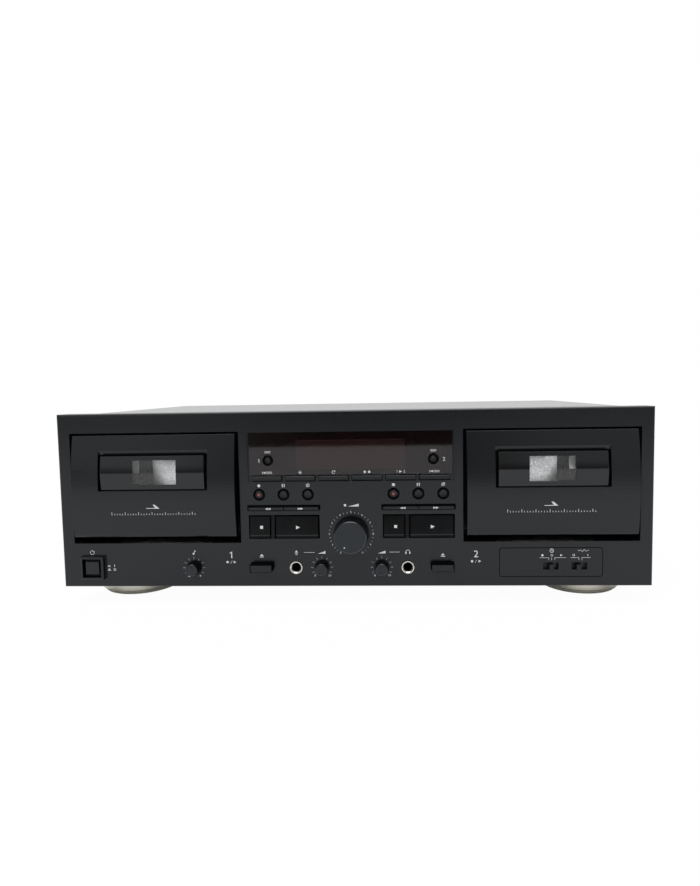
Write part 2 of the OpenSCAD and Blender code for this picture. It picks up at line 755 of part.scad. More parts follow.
module case_screws() color(metal_c) {
    for (s = [0, 1], y = [side_screw_front, side_screw_rear]) mirror([s, 0, 0])
        translate([cover_w / 2, y, side_screw_z]) rotate([0, 90, 0]) screw();
    for (x = [-rear_screw_x, 0, rear_screw_x])
        translate([x, rear_y + sheet_t, rear_screw_z]) rotate([-90, 0, 0]) screw();
    for (s = [-1, 1], y = [front_y + foot_front, rear_y - foot_rear])
        translate([s * foot_x, y, foot_h - 4]) rotate([180, 0, 0]) screw();
    for (n = [1, 2], s = [-1, 1], z = [ear_low, ear_high]) on_deck(n)
        translate([s * ear_x, ear_u + ear_t, z]) rotate([-90, 0, 0]) screw();
}

// Electronics

module pot(x, v, r, shaft) translate([x, 0, v]) difference() {
    union() {
        rod(r, pot_u + 2.5, board_u + 0.5);
        rod(shaft + 1.4, pot_u, pot_u + 3);
    }
    rod(shaft + run_gap, pot_u - 1, board_u - 1);
}

module tact(x, v) translate([x, 0, v]) {
    block(-3, 3, switch_u + 1.4, board_u + 0.5, -3, 3);
    rod(1.6, switch_u, switch_u + 2);
}

module main_control_board() difference() {
    union() {
        block(-board_half, board_half, board_u, board_u + board_t, 5, panel_h - 6);
        block(-display_half, display_half, panel_t + 0.6, board_u + 0.5,
            window_mid - display_down, window_mid + display_up);
        for (i = [0:5]) tact((i - 2.5) * function_step, function_row);
        for (s = [-1, 1]) {
            tact(s * counter_at, counter_row);
            for (i = [-1:1]) tact(s * block_at + i * round_step, round_row);
            for (i = [-1, 1]) tact(s * block_at + i * (wind_key_w + 0.6) / 2, wind_row);
            tact(s * block_at + stop_dx, play_row);
            tact(s * block_at + play_dx, play_row);
            tact(s * eject_at, eject_row);
            pot(s * small_at, knob_row, 5.6, small_shaft);
        }
        pot(0, level_row, 8.5, level_shaft);
    }
    for (s = [-1, 1]) translate([s * jack_at, 0, knob_row])
        block(-jack_half - jack_room, jack_half + jack_room, 0, 40, -knob_row, jack_half + jack_room);
}

module left_control_board() {
    block(-overall_w / 2 + 5.5, -deck_x + 41, board_u, board_u + board_t, 4.4, opening_v + well_low - 3.9);
    pot(-pitch_x, knob_row, 5.6, small_shaft);
    translate([-power_x, 0, power_row])
        block(-power_body, power_body, board_u - 2, board_u + 0.5, -power_body, power_body);
}

module right_control_board() {
    block(deck_x - 19, deck_x + 39, slide_board_u, slide_board_u + board_t, 4.4,
        opening_v + ear_low - ear_h / 2 - 1.1);
    for (x = [timer_x, noise_x])
        block(x - 8, x + 8, flange_gap_u + 2, slide_board_u + 0.5, slide_v - 4.8, slide_v + 4.8);
}

module control_board() color(board_c) on_panel(0, 0) {
    main_control_board();
    left_control_board();
    right_control_board();
}

module can(x, y, r, h) translate([x, y, 0]) cylinder(r = r, h = h);

module main_board() color(board_c) translate([0, 0, tray_z + standoff_h]) {
    translate([main_x0, main_y0, 0]) cube([main_x1 - main_x0, main_y1 - main_y0, board_t]);
    for (i = [0:3]) can(main_x0 + can_x + i * can_pitch, main_y1 - can_y, can_r, can_h);
    for (i = [0:4]) can(main_x0 + cap_x + i * cap_pitch, main_y0 + cap_y, cap_r, cap_h);
    for (i = [0:2]) translate([main_x0 + chip_x + i * chip_pitch, main_y0 + chip_y, 0])
        cube([chip_w, chip_d, chip_h]);
    translate([main_x0 + sink_x, main_y1 - sink_y, 0]) cube([sink_w, sink_d, sink_h]);
}

module power_transformer() color([0.5, 0.46, 0.4]) translate([-core_x, rear_y - core_y, tray_z]) {
    translate([-core_foot / 2, -core_d / 2 - 1, 0]) cube([core_foot, core_d + 2, board_t]);
    translate([-core_w / 2, -core_d / 2, 1]) cube([core_w, core_d, core_h]);
    translate([-coil_w / 2, -coil_d / 2, 1 + (core_h - coil_h) / 2]) cube([coil_w, coil_d, coil_h]);
}

module front_jack() difference() {
    union() {
        rod(jack_bush, -1, panel_t + 1);
        block(-jack_half, jack_half, panel_t + eps * 10, panel_t + jack_deep + 3, -jack_half, jack_half);
    }
    rod(jack_bore, -2, jack_deep - 1);
    cone(jack_bore + 0.75, jack_bore, -1 - eps, -0.2);
}

module front_jacks() color(metal_c) for (s = [-1, 1]) on_panel(s * jack_at, knob_row) front_jack();

module phono() difference() {
    union() {
        block(-phono_half, phono_half, -sheet_t - phono_back, -sheet_t, -phono_half, phono_half);
        rod(phono_collar, -sheet_t - 1, 1.2);
        rod(phono_r, 0, phono_reach);
    }
    rod(phono_bore, -sheet_t - phono_deep, phono_reach + 1);
}

module rear_sockets() color(pale_c) for (i = [0, 1], j = [0, 1])
    translate([phono_x + i * phono_pitch, rear_y, foot_h + phono_v + j * phono_pitch]) phono();

module mains_inlet() color(plastic_c) translate([-inlet_x, rear_y, foot_h + inlet_v]) {
    difference() {
        union() {
            block(-inlet_w / 2 - 7, inlet_w / 2 + 7, 0, 2.2, -inlet_h / 2 - 4, inlet_h / 2 + 4);
            block(-inlet_w / 2 - 2, inlet_w / 2 + 2, -15, 0.5, -inlet_h / 2 - 2, inlet_h / 2 + 2);
        }
        block(-inlet_w / 2, inlet_w / 2, -11, 3, -inlet_h / 2, inlet_h / 2);
    }
    for (s = [-1, 1]) translate([s * 4.3, 0, 0]) rod(1.2, -12, 0);
}

// Cassette wells and drives

module head_guides() for (s = [-1, 1]) translate([s * guide_x, 0, guide_z]) {
    rod(guide_r, head_u0 - 1, well_u + 0.5);
    rod(2.6, head_u0 - 1.6, head_u0 - 0.4);
}

module transport_frame() difference() {
    union() {
        difference() {
            block(-well_out, well_out, panel_t, drive_u, well_low, well_high);
            block(-well_in, well_in, panel_t - 1, well_u, -0.3, opening_h + 0.3);
        }
        head_guides();
        block(-pad_half, pad_half, well_u - 0.4, well_u + 0.5, hub_z - pad_rise, hub_z + pad_rise);
        for (s = [-1, 1], z = [ear_low, ear_high])
            translate([s * ear_x, 0, z])
                block(-ear_half, ear_half, ear_u, ear_u + ear_t, -ear_h / 2 - 0.3, ear_h / 2 + 0.3);
    }
    translate([0, hinge_u, hinge_z]) rotate([0, 90, 0])
        cylinder(r = pin_r + run_gap, h = 2 * well_out + 2, center = true);
    for (s = [-1, 1]) translate([s * hub_x, 0, hub_z]) rod(spindle_r + run_gap, well_u - 1, drive_u + 1);
    translate([capstan_x, 0, capstan_z]) rod(capstan_r + run_gap, well_u - 1, drive_u + 1);
    for (s = [-1, 1], z = [ear_low, ear_high])
        translate([s * ear_x, 0, z]) rod(screw_r + 0.3, ear_u - 1, ear_u + ear_t + 1);
}

module transport_frames() color(plastic_c) for (n = [1, 2]) on_deck(n) transport_frame();

module drive_bracket() difference() {
    union() {
        block(-bracket_half, bracket_half, bracket_u, bracket_u + bracket_t, 0, bracket_top);
        for (s = [-1, 1], z = [pillar_in, bracket_top - pillar_in])
            translate([s * (bracket_half - pillar_in), 0, z]) rod(pillar_r, drive_u, bracket_u + 0.5);
    }
    translate([capstan_x, 0, capstan_z]) rod(capstan_r + run_gap, bracket_u - 1, bracket_u + 4);
    translate([motor_x, 0, capstan_z]) rod(pulley_r + 1, bracket_u - 1, bracket_u + 4);
}

module drive_motor() translate([motor_x, 0, capstan_z]) {
    rod(motor_r, bracket_u + bracket_t + seat_gap, bracket_u + bracket_t + motor_len);
    rod(1, belt_u0 - 1, bracket_u + bracket_t + 1);
    turned() polygon([
        [0, belt_u0 - 1], [pulley_r + 0.6, belt_u0 - 1], [pulley_r - 0.6, belt_u0 - 0.3],
        [pulley_r - 0.6, belt_u1 + 0.3], [pulley_r + 0.6, belt_u1 + 1], [0, belt_u1 + 1]]);
}

// Points of a belt line around the pulley and the flywheel at a distance from their grooves
function belt_line(out) = let (
        ra = pulley_r - 0.6 + out,
        rb = wheel_r - 1.4 + out,
        gap = capstan_x - motor_x,
        lean = acos((ra - rb) / gap))
    concat(
        [for (i = [0:24]) let (a = -lean + 2 * lean * i / 24) [gap + rb * cos(a), rb * sin(a)]],
        [for (i = [0:12]) let (a = lean + 2 * (180 - lean) * i / 12) [ra * cos(a), ra * sin(a)]]);

module drive_belt() translate([motor_x, 0, capstan_z]) along_y(belt_u0, belt_u1) difference() {
    polygon(belt_line(1.2));
    polygon(belt_line(0.35));
}

module motor_drives() color([0.6, 0.6, 0.6]) for (n = [1, 2]) on_deck(n) {
    drive_bracket();
    drive_motor();
    drive_belt();
}

// Moving parts of a cassette well

module door_recess() {
    block(-recess_in_w / 2, recess_in_w / 2, -20, door_back + 2, recess_z0, recess_z1);
    along_x(recess_in_w) polygon([
        [bevel_u, recess_z1 - eps],
        [bevel_u - 8, recess_z1 - eps],
        [bevel_u - 8, recess_z1 + pane_bevel * 8 / pane_bevel_in],
        [bevel_u, recess_z1]]);
    block(-flange_w / 2 - seat_gap, flange_w / 2 + seat_gap, flange_u0, door_back + 2,
        flange_z0 - seat_gap, flange_z1 + seat_gap);
}

module door_front() difference() {
    along_x(door_w) polygon(door_outline(door_z0, door_z1, 0, door_round, door_brow));
    block(-door_w, door_w, door_back, door_back + 9, door_z0 - 1, door_z1 + 1);
    difference() {
        along_x(door_w - 2 * door_skin)
            polygon(door_outline(door_z0 + door_skin, door_z1 - door_skin, door_skin, 0.4, 0.2));
        block(-flange_w / 2 - 2.5, flange_w / 2 + 2.5, -20, 20, flange_z0 - 2.5, flange_z1 + 2.5);
    }
    door_recess();
}

module pane_barrel(r) intersection() {
    translate([0, pane_curve - pane_reach, pane_z - 0.6]) rotate([0, 90, 0])
        cylinder(r = r, h = 200, center = true, $fn = 120);
    block(-100, 100, -20, flange_u1, 0, 100);
}

module door_window() difference() {
    union() {
        intersection() {
            pane_barrel(pane_curve);
            block(-pane_w / 2, pane_w / 2, -20, flange_u1, pane_z - pane_h / 2, pane_z + pane_h / 2);
        }
        block(-flange_w / 2, flange_w / 2, flange_u0, flange_u1, flange_z0, flange_z1);
    }
    intersection() {
        translate([0, 5, 0]) pane_barrel(pane_curve - pane_skin + 5);
        block(-pane_w / 2 + pane_skin, pane_w / 2 - pane_skin, -20, 20,
            pane_z - pane_h / 2 + pane_skin, pane_z + pane_h / 2 - pane_skin);
    }
    block(-pane_w / 2 + pane_skin, pane_w / 2 - pane_skin, flange_u0, 20,
        pane_z - pane_h / 2 + pane_skin, pane_z + pane_h / 2 - pane_skin);
}

module holder_side() {
    block(slot_w / 2, slot_w / 2 + rail_t, slot_u0 - 0.5, slot_u1 + rail_t, slot_z - rail_t, holder_top);
    block(slot_w / 2 - 6, slot_w / 2 + 0.5, slot_u1, slot_u1 + rail_t, slot_z + 8, holder_top);
    block(slot_w / 2 - 13, slot_w / 2 + 0.5, slot_u0 - 0.5, slot_u1, slot_z - rail_t, slot_z);
    block(arm_x, holder_half, door_back, hinge_u + 4, hinge_z - 3.6, slot_z + 8);
    translate([0, hinge_u, hinge_z]) rotate([0, 90, 0])
        translate([0, 0, arm_x + 0.5]) cylinder(r = pin_r, h = well_out - 0.4 - arm_x);
}

module cassette_holder() difference() {
    union() {
        block(-holder_half, holder_half, door_back, slot_u0, slot_z - rail_t, holder_top);
        holder_side();
        mirror([1, 0, 0]) holder_side();
    }
    block(-pane_w / 2, pane_w / 2, door_back - 1, slot_u0 + eps, pane_z - pane_h / 2, pane_z + pane_h / 2);
}

module reel_spindle() {
    turned() polygon([
        [0, well_u - 8.5], [1.6, well_u - 8.5], [3.5, well_u - 6.6], [3.5, well_u - 1.6],
        [7.4, well_u - 1.6], [7.4, well_u - 0.5], [spindle_r, well_u - 0.5],
        [spindle_r, drive_u + 0.5], [4.6, drive_u + 0.5],
        [4.6, drive_u + 2.4], [0, drive_u + 2.4]]);
    for (a = [0:60:300]) rotate([0, a, 0]) block(-0.7, 0.7, well_u - 6, well_u - 1, 2, 4.6);
}

module capstan() turned() polygon([
    [0, well_u - capstan_reach], [capstan_r, well_u - capstan_reach], [capstan_r, wheel_u0],
    [wheel_r, wheel_u0], [wheel_r, belt_u0 - 0.6], [wheel_r - 1.4, belt_u0 - 0.3],
    [wheel_r - 1.4, belt_u1 + 0.3],
    [wheel_r, belt_u1 + 0.6], [wheel_r, wheel_u1], [capstan_r, wheel_u1],
    [capstan_r, bracket_u + bracket_t + 1], [0, bracket_u + bracket_t + 1]]);

module head_plate() {
    difference() {
        union() {
            block(-slider_half, slider_half, head_u0, head_u1, slider_low, slider_top);
            block(-head_half, head_half, well_u - head_reach, head_u0 + 0.5, 4.6, slider_top + 1.2);
            block(-erase_x, -head_half - 6, well_u - head_reach + 1, head_u0 + 0.5, 5, slider_top + 0.4);
            block(fork_x, fork_x + 3.2, well_u - head_reach + 1, head_u0 + 0.5, 8, slider_top + 1.4);
        }
        for (s = [-1, 1]) translate([s * guide_x, 0, guide_z])
            block(-guide_r - 0.2, guide_r + 0.2, head_u0 - 1, head_u1 + 1,
                -head_travel - guide_r - 0.2, guide_r + 0.2);
    }
    translate([capstan_x, 0, roller_z]) {
        rod(1.2, well_u - 9.6, head_u0 + 0.5);
        turned() polygon([
            [1.2 + run_gap, well_u - 9], [roller_r, well_u - 9], [roller_r, head_u0 - 0.6],
            [1.2 + run_gap, head_u0 - 0.6]]);
    }
}

// Keys, buttons and knobs

// Flange and stem behind the panel, shared by all keys
module key_back(w, h, travel, to_u) {
    block(-w / 2, w / 2, flange_gap_u, stem_u, -h / 2 - key_lip, h / 2 + key_lip);
    rod(1.4, stem_u - 0.5, to_u - travel - 0.3);
}

// Key with bevelled upper and lower front edges
module flat_key(w, h, reach) {
    along_x(w) polygon([
        [flange_gap_u + 0.5, -h / 2], [-reach + 0.6, -h / 2], [-reach, -h / 2 + 0.6],
        [-reach, h / 2 - 0.4], [-reach + 0.4, h / 2], [flange_gap_u + 0.5, h / 2]]);
    key_back(w, h, tact_travel, switch_u);
}

// Key with a face that leans back, and a bevel along its lower edge
module lean_key(w) {
    along_x(w) polygon([
        [flange_gap_u + 0.5, -play_h / 2], [-play_low + 1, -play_h / 2], [-play_low, -play_h / 2 + 1.3],
        [play_high, play_h / 2], [flange_gap_u + 0.5, play_h / 2]]);
    key_back(w, play_h, tact_travel, switch_u);
}

module round_key(r, reach) {
    turned() polygon([
        [0, -reach + 0.3], [r * 0.5, -reach + 0.2], [r - 0.5, -reach], [r, -reach + 0.4], [r, flange_gap_u],
        [r + key_lip, flange_gap_u], [r + key_lip, stem_u], [1.4, stem_u],
        [1.4, switch_u - tact_travel - 0.3], [0, switch_u - tact_travel - 0.3]]);
}

module knob(r, reach, shaft, to_u) {
    turned() polygon([
        [0, -reach + 0.3], [r - 2.4, -reach + 0.3], [r - 2, -reach], [r - 1.3, -reach],
        [r - 0.9, -reach + 0.5], [r - 0.4, -1.4], [r, -1.2], [r, -0.4], [shaft, -0.4],
        [shaft, to_u], [0, to_u]]);
}

module function_key(i) color(key_c) on_panel((i - 2.5) * function_step, function_row)
    flat_key(function_wide, function_h, function_reach);

module round_button(n, i) color(key_c) on_panel(side(n) * block_at + i * round_step, round_row)
    round_key(round_r, 0.6);

module wind_key(n, i) color(key_c) on_panel(side(n) * block_at + i * (wind_key_w + 0.6) / 2, wind_row)
    flat_key(wind_key_w, wind_h, wind_reach);

module zero_button_1() function_key(0);
module dimmer_button() function_key(1);
module repeat_button() function_key(2);
module parallel_button() function_key(3);
module dub_button() function_key(4);
module zero_button_2() function_key(5);

module record_button_1() round_button(1, -1);
module record_button_2() round_button(2, -1);
module pause_button_1() round_button(1, 0);
module pause_button_2() round_button(2, 0);
module mute_button_1() round_button(1, 1);
module mute_button_2() round_button(2, 1);

module rewind_button_1() wind_key(1, -1);
module rewind_button_2() wind_key(2, -1);
module forward_button_1() wind_key(1, 1);
module forward_button_2() wind_key(2, 1);

module stop_button(n) color(key_c) on_panel(side(n) * block_at + stop_dx, play_row) lean_key(stop_wide);
module play_button(n) color(key_c) on_panel(side(n) * block_at + play_dx, play_row) lean_key(play_w);
module stop_button_1() stop_button(1);
module stop_button_2() stop_button(2);
module play_button_1() play_button(1);
module play_button_2() play_button(2);

module counter_button(n) color(key_c) on_panel(side(n) * counter_at, counter_row) round_key(counter_r, 0.2);
module counter_button_1() counter_button(1);
module counter_button_2() counter_button(2);

module eject_button(n) color(key_c) on_panel(side(n) * eject_at, eject_row) {
    along_x(eject_wide) polygon([
        [flange_gap_u + 0.5, -eject_h / 2], [-eject_reach + 0.4, -eject_h / 2],
        [-eject_reach, -eject_h / 2 + 0.4],
        [-eject_reach, eject_h / 2 - 1.6], [-eject_reach + 0.6, eject_h / 2 - 1.1], [0, eject_h / 2],
        [flange_gap_u + 0.5, eject_h / 2]]);
    key_back(eject_wide, eject_h, eject_travel, switch_u);
}
module eject_button_1() eject_button(1);
module eject_button_2() eject_button(2);

module power_button() color(key_c) on_panel(-power_x, power_row) {
    along_x(power_w) polygon([
        [1, -power_w / 2], [-bezel_reach + 1.4, -power_w / 2], [-bezel_reach + 1, -power_w / 2 + 0.4],
        [-bezel_reach + 1, power_w / 2 - 0.4], [-bezel_reach + 1.4, power_w / 2], [1, power_w / 2]]);
    block(-bezel_in / 2 + key_gap, bezel_in / 2 - key_gap, 0.6, flange_gap_u + 0.5,
        -bezel_in / 2 + key_gap, bezel_in / 2 - key_gap);
    key_back(bezel_in - 2 * key_gap + 2 * key_lip, bezel_in - 2 * key_gap - 2 * key_lip, power_travel,
        board_u - 2);
}

module record_level_knob() color(key_c) on_panel(0, level_row)
    knob(level_r, level_reach, level_shaft, board_u - 2);
module small_knob(x) color(key_c) on_panel(x, knob_row) knob(small_r, small_reach, small_shaft, board_u - 2);
module pitch_knob() small_knob(-pitch_x);
module mic_level_knob() small_knob(-small_at);
module phones_level_knob() small_knob(small_at);

module slide_lever(x, dx) color(key_c) on_panel(x + dx, slide_v) {
    along_x(lever_w) polygon([
        [flange_gap_u + 0.5, -slide_h / 2 + 0.4], [-lever_reach, -slide_h / 2 + 0.8],
        [-lever_reach, slide_h / 2 - 0.8],
        [flange_gap_u + 0.5, slide_h / 2 - 0.4]]);
    block(-7.4, 7.4, flange_gap_u, flange_gap_u + 1.2, -slide_h / 2 - 0.8, slide_h / 2 + 0.8);
}
module timer_slider() slide_lever(timer_x, 0);
module noise_slider() slide_lever(noise_x, -1);

module door_front_1() color(panel_c) on_deck(1) door_front();
module door_front_2() color(panel_c) on_deck(2) door_front();
module door_window_1() color(glass_c) on_deck(1) door_window();
module door_window_2() color(glass_c) on_deck(2) door_window();
module cassette_holder_1() color(plastic_c) on_deck(1) cassette_holder();
module cassette_holder_2() color(plastic_c) on_deck(2) cassette_holder();
module supply_spindle_1() color(pale_c) on_deck(1) translate([-hub_x, 0, hub_z]) reel_spindle();
module supply_spindle_2() color(pale_c) on_deck(2) translate([-hub_x, 0, hub_z]) reel_spindle();
module takeup_spindle_1() color(pale_c) on_deck(1) translate([hub_x, 0, hub_z]) reel_spindle();
module takeup_spindle_2() color(pale_c) on_deck(2) translate([hub_x, 0, hub_z]) reel_spindle();
module capstan_1() color(metal_c) on_deck(1) translate([capstan_x, 0, capstan_z]) capstan();
module capstan_2() color(metal_c) on_deck(2) translate([capstan_x, 0, capstan_z]) capstan();
module head_plate_1() color(metal_c) on_deck(1) head_plate();
module head_plate_2() color(metal_c) on_deck(2) head_plate();

front_panel();
top_cover();
chassis_tray();
rear_panel();
feet();
case_screws();
display_window();
control_board();
main_board();
power_transformer();
front_jacks();
rear_sockets();
mains_inlet();
transport_frames();
motor_drives();
door_front_1();
door_front_2();
door_window_1();
door_window_2();
cassette_holder_1();
cassette_holder_2();
supply_spindle_1();
supply_spindle_2();
takeup_spindle_1();
takeup_spindle_2();
capstan_1();
capstan_2();
head_plate_1();
head_plate_2();
power_button();
eject_button_1();
eject_button_2();
record_button_1();
record_button_2();
pause_button_1();
pause_button_2();
mute_button_1();
mute_button_2();
counter_button_1();
counter_button_2();
zero_button_1();
dimmer_button();
repeat_button();
parallel_button();
dub_button();
zero_button_2();
rewind_button_1();
rewind_button_2();
forward_button_1();
forward_button_2();
stop_button_1();
stop_button_2();
play_button_1();
play_button_2();
record_level_knob();
pitch_knob();
mic_level_knob();
phones_level_knob();
timer_slider();
noise_slider();
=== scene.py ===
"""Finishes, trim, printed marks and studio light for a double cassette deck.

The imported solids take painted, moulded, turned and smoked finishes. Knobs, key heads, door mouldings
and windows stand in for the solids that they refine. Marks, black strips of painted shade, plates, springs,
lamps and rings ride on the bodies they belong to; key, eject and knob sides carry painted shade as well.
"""

import math
from functools import partial

import bmesh
import bpy
from mathutils import Matrix, Vector
from mathutils.bvhtree import BVHTree


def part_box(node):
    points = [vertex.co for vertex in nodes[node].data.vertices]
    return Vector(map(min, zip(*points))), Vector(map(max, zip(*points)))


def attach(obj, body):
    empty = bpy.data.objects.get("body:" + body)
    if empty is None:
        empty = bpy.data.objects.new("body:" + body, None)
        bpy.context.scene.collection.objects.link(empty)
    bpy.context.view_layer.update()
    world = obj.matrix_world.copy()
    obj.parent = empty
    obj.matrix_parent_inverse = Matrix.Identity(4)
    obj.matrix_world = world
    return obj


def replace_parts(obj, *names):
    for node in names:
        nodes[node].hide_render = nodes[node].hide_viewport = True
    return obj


MM = 0.001
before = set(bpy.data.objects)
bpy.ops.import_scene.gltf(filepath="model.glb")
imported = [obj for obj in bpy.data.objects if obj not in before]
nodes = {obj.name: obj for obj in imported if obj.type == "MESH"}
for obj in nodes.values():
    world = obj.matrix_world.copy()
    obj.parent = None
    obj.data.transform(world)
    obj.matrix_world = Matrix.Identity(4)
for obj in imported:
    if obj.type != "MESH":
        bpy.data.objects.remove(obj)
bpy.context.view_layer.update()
scene = bpy.context.scene
scene.view_settings.view_transform = "Standard"

# The panel's front plane, its lower edge and the rear panel's back; pieces are placed from these.
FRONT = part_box("display_window")[0][1] - 0.4 * MM
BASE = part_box("front_panel")[0][2]
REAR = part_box("rear_panel")[1][1]
MERGE = 0.000002

# Deck numbers with the side each is on
DECKS = ((1, -1), (2, 1))

# Places on the panel, in millimetres from its middle and lower edge
DECK, BLOCK, RIB = 145.0, 49.4, -8.35
ROUND_STEP, ROUND_ROW = 18.05, 68.95
DIAL_ROW, KNOB_ROW, LEVEL_X, PITCH_X, JACK_X = 39.5, 14.5, 22.05, -117.9, 41.2
COUNTER_X, COUNTER_ROW, LEGEND_ROW = 60.45, 94.25, 85.2

# Ink film above what it lies on, and the figures round the dial
INK_LOW, INK_HIGH = 0.005, 0.05
FIGURE_RING, FIGURE_TALL = 16.15, 1.55

# Switch frame: middle, half width, middle height, half height, corner
FRAME = (144.80, 37.0, 17.8, 10.65, 2.15)
FRAME_LINE = 0.34
CORNERS = ((1, 1, 0), (-1, 1, 90), (-1, -1, 180), (1, -1, 270))

# Panes and the clear rectangle in each; how far the reel plates' light leans across them
PANE_HALF, PANE_LOW, PANE_HIGH = 38.5, 74.4, 99.0
PANE_FRONT, PANE_PEAK, PANE_BOW, PANE_WALL = -5.4, 84.75, 60.0, 1.8
CLEAR = {1: (-159.2, -127.2), 2: (128.2, 160.7)}
CLEAR_LOW, CLEAR_HIGH = 78.0, 95.9
PLATE_LEAN = (0.15, -0.09)

# Depths on the keys: behind the panel, and at the tall keys' crest
PANEL_BACK, CREST = 3.0, -1.1


# Camera

def photo_camera():
    focal, wide, sensor = 590.7, 700.0, 36.0
    yaw, pitch, roll = -0.044508, 0.0718566, -0.0165573
    turn = Matrix.Rotation(roll, 3, "Z") @ Matrix.Rotation(pitch, 3, "X") @ Matrix.Rotation(-yaw, 3, "Y")
    right, down, ahead = (Vector((row[0], row[2], -row[1])) for row in turn)
    place = Matrix((right, -down, -ahead)).transposed().to_4x4()
    place.translation = Vector((32.194, -556.894, 160.716)) * MM
    lens = bpy.data.cameras.new("photo_camera")
    lens.sensor_fit = "HORIZONTAL"
    lens.sensor_width = sensor
    lens.lens = focal / wide * sensor
    lens.shift_x, lens.shift_y = -17.59 / wide, -12.0 / wide
    lens.clip_start, lens.clip_end = 0.01, 50.0
    camera = bpy.data.objects.new("photo_camera", lens)
    camera.matrix_world = place
    scene.collection.objects.link(camera)
    scene.camera = camera


photo_camera()


# Node trees

def feed(tree, socket, term):
    """Set a socket to a plain value, or link it to another node's output."""
    if isinstance(term, bpy.types.NodeSocket):
        tree.links.new(term, socket)
    else:
        socket.default_value = term


def new_node(tree, kind, terms=(), **values):
    """A new node with these settings, and with its inputs fed by name or in order."""
    made = tree.nodes.new(kind)
    for key, value in values.items():
        setattr(made, key, value)
    for key, term in terms.items() if isinstance(terms, dict) else enumerate(terms):
        feed(tree, made.inputs[key], term)
    return made


def tree_math(tree, how, *terms):
    return new_node(tree, "ShaderNodeMath", terms, operation=how).outputs[0]


def tree_spread(tree, value, low, high, start=0.0, end=1.0):
    return new_node(tree, "ShaderNodeMapRange", (value, start, end, low, high)).outputs[0]


# Finishes

class Finish:
    """A node material with one main shader, read on Object coordinates in metres."""

    def __init__(self, name):
        self.mat = bpy.data.materials.new(name)
        self.mat.use_nodes = True
        self.tree = self.mat.node_tree
        self.tree.nodes.clear()
        self.math, self.spread = partial(tree_math, self.tree), partial(tree_spread, self.tree)
        self.out = self.node("OutputMaterial")
        self.main = self.node("BsdfPrincipled")
        feed(self.tree, self.out.inputs["Surface"], self.main.outputs["BSDF"])
        self.coords = self.node("TexCoord").outputs["Object"]

    def node(self, kind, terms=(), **values):
        return new_node(self.tree, "ShaderNode" + kind, terms, **values)

    def set(self, **values):
        """Set or link inputs of the main shader."""
        for key, value in values.items():
            feed(self.tree, self.main.inputs[key.replace("_", " ")], value)

    def blend(self, amount, other):
        """Mix another shader over the main one."""
        mix = self.node("MixShader", (amount, self.main.outputs["BSDF"], other.outputs[0]))
        feed(self.tree, self.out.inputs["Surface"], mix.outputs[0])

    def away(self, a, b):
        """Distance from an axis, from two offsets at right angles."""
        return self.math("SQRT", self.math("ADD", self.math("MULTIPLY", a, a), self.math("MULTIPLY", b, b)))

    def axes(self):
        return self.node("SeparateXYZ", (self.coords,)).outputs

    def noise(self, scale, detail=2.0, rough=0.5, stretch=None):
        source = self.coords
        if stretch:
            source = self.node("Mapping", {"Scale": stretch, "Vector": source}).outputs[0]
        terms = {"Scale": scale, "Detail": detail, "Roughness": rough, "Vector": source}
        return self.node("TexNoise", terms).outputs["Fac"]

    def tint(self, amount, first, second):
        made = self.node("Mix", data_type="RGBA")
        for index, term in ((0, amount), (6, first), (7, second)):
            feed(self.tree, made.inputs[index], (*term, 1.0) if isinstance(term, tuple) else term)
        return made.outputs[2]

    def soft(self, width):
        """Normal that rounds the edges off."""
        return self.node("Bevel", {"Radius": width}, samples=4).outputs[0]

    def edge(self, width):
        """Rounded-edge normal and a mask that is 1 along the edges."""
        normal, face = self.soft(width), self.node("NewGeometry").outputs["Normal"]
        turn = self.node("VectorMath", (normal, face), operation="DOT_PRODUCT").outputs["Value"]
        return normal, self.spread(turn, 1.0, 0.0, 0.86, 1.0)

    def bump(self, height, depth, strength=1.0, normal=None):
        made = self.node("Bump", {"Strength": strength, "Distance": depth, "Height": height})
        if normal is not None:
            feed(self.tree, made.inputs["Normal"], normal)
        self.set(Normal=made.outputs[0])

    def colour(self, socket):
        self.set(Base_Color=socket)

    def rough(self, socket):
        self.set(Roughness=socket)


def shade(colour, factor):
    return tuple(min(1.0, channel * factor) for channel in colour)


def moulded(name, colour, rough, grain=0.00002, grain_scale=2600.0, vary=0.14, edge=0.0003,
            rub=1.5, specular=0.5, metal=0.0, mottle=0.03, gloss_tint=(0.94, 0.97, 1.0)):
    """Satin moulding or paint: cloudy tone, fine grain, and edges a little rubbed."""
    made = Finish(name)
    made.set(Metallic=metal, Specular_IOR_Level=specular, Specular_Tint=(*gloss_tint, 1.0))
    cloud = made.noise(38.0, 3.0)
    fine = made.noise(grain_scale, 2.0, 0.6)
    tone = made.tint(cloud, shade(colour, 1.0 - vary), shade(colour, 1.0 + vary))
    normal, rim = made.edge(edge)
    worn = made.math("MULTIPLY", rim, made.spread(made.noise(420.0, 2.0), 0.0, 1.0, 0.35, 0.7))
    made.colour(made.tint(worn, tone, shade(colour, rub)))
    sheen = made.spread(made.noise(150.0, 4.0), rough - mottle, rough + mottle, 0.25, 0.75)
    made.rough(made.math("ADD", sheen, made.spread(fine, -mottle, mottle)))
    made.bump(fine, grain, 0.5, normal)
    return made.mat


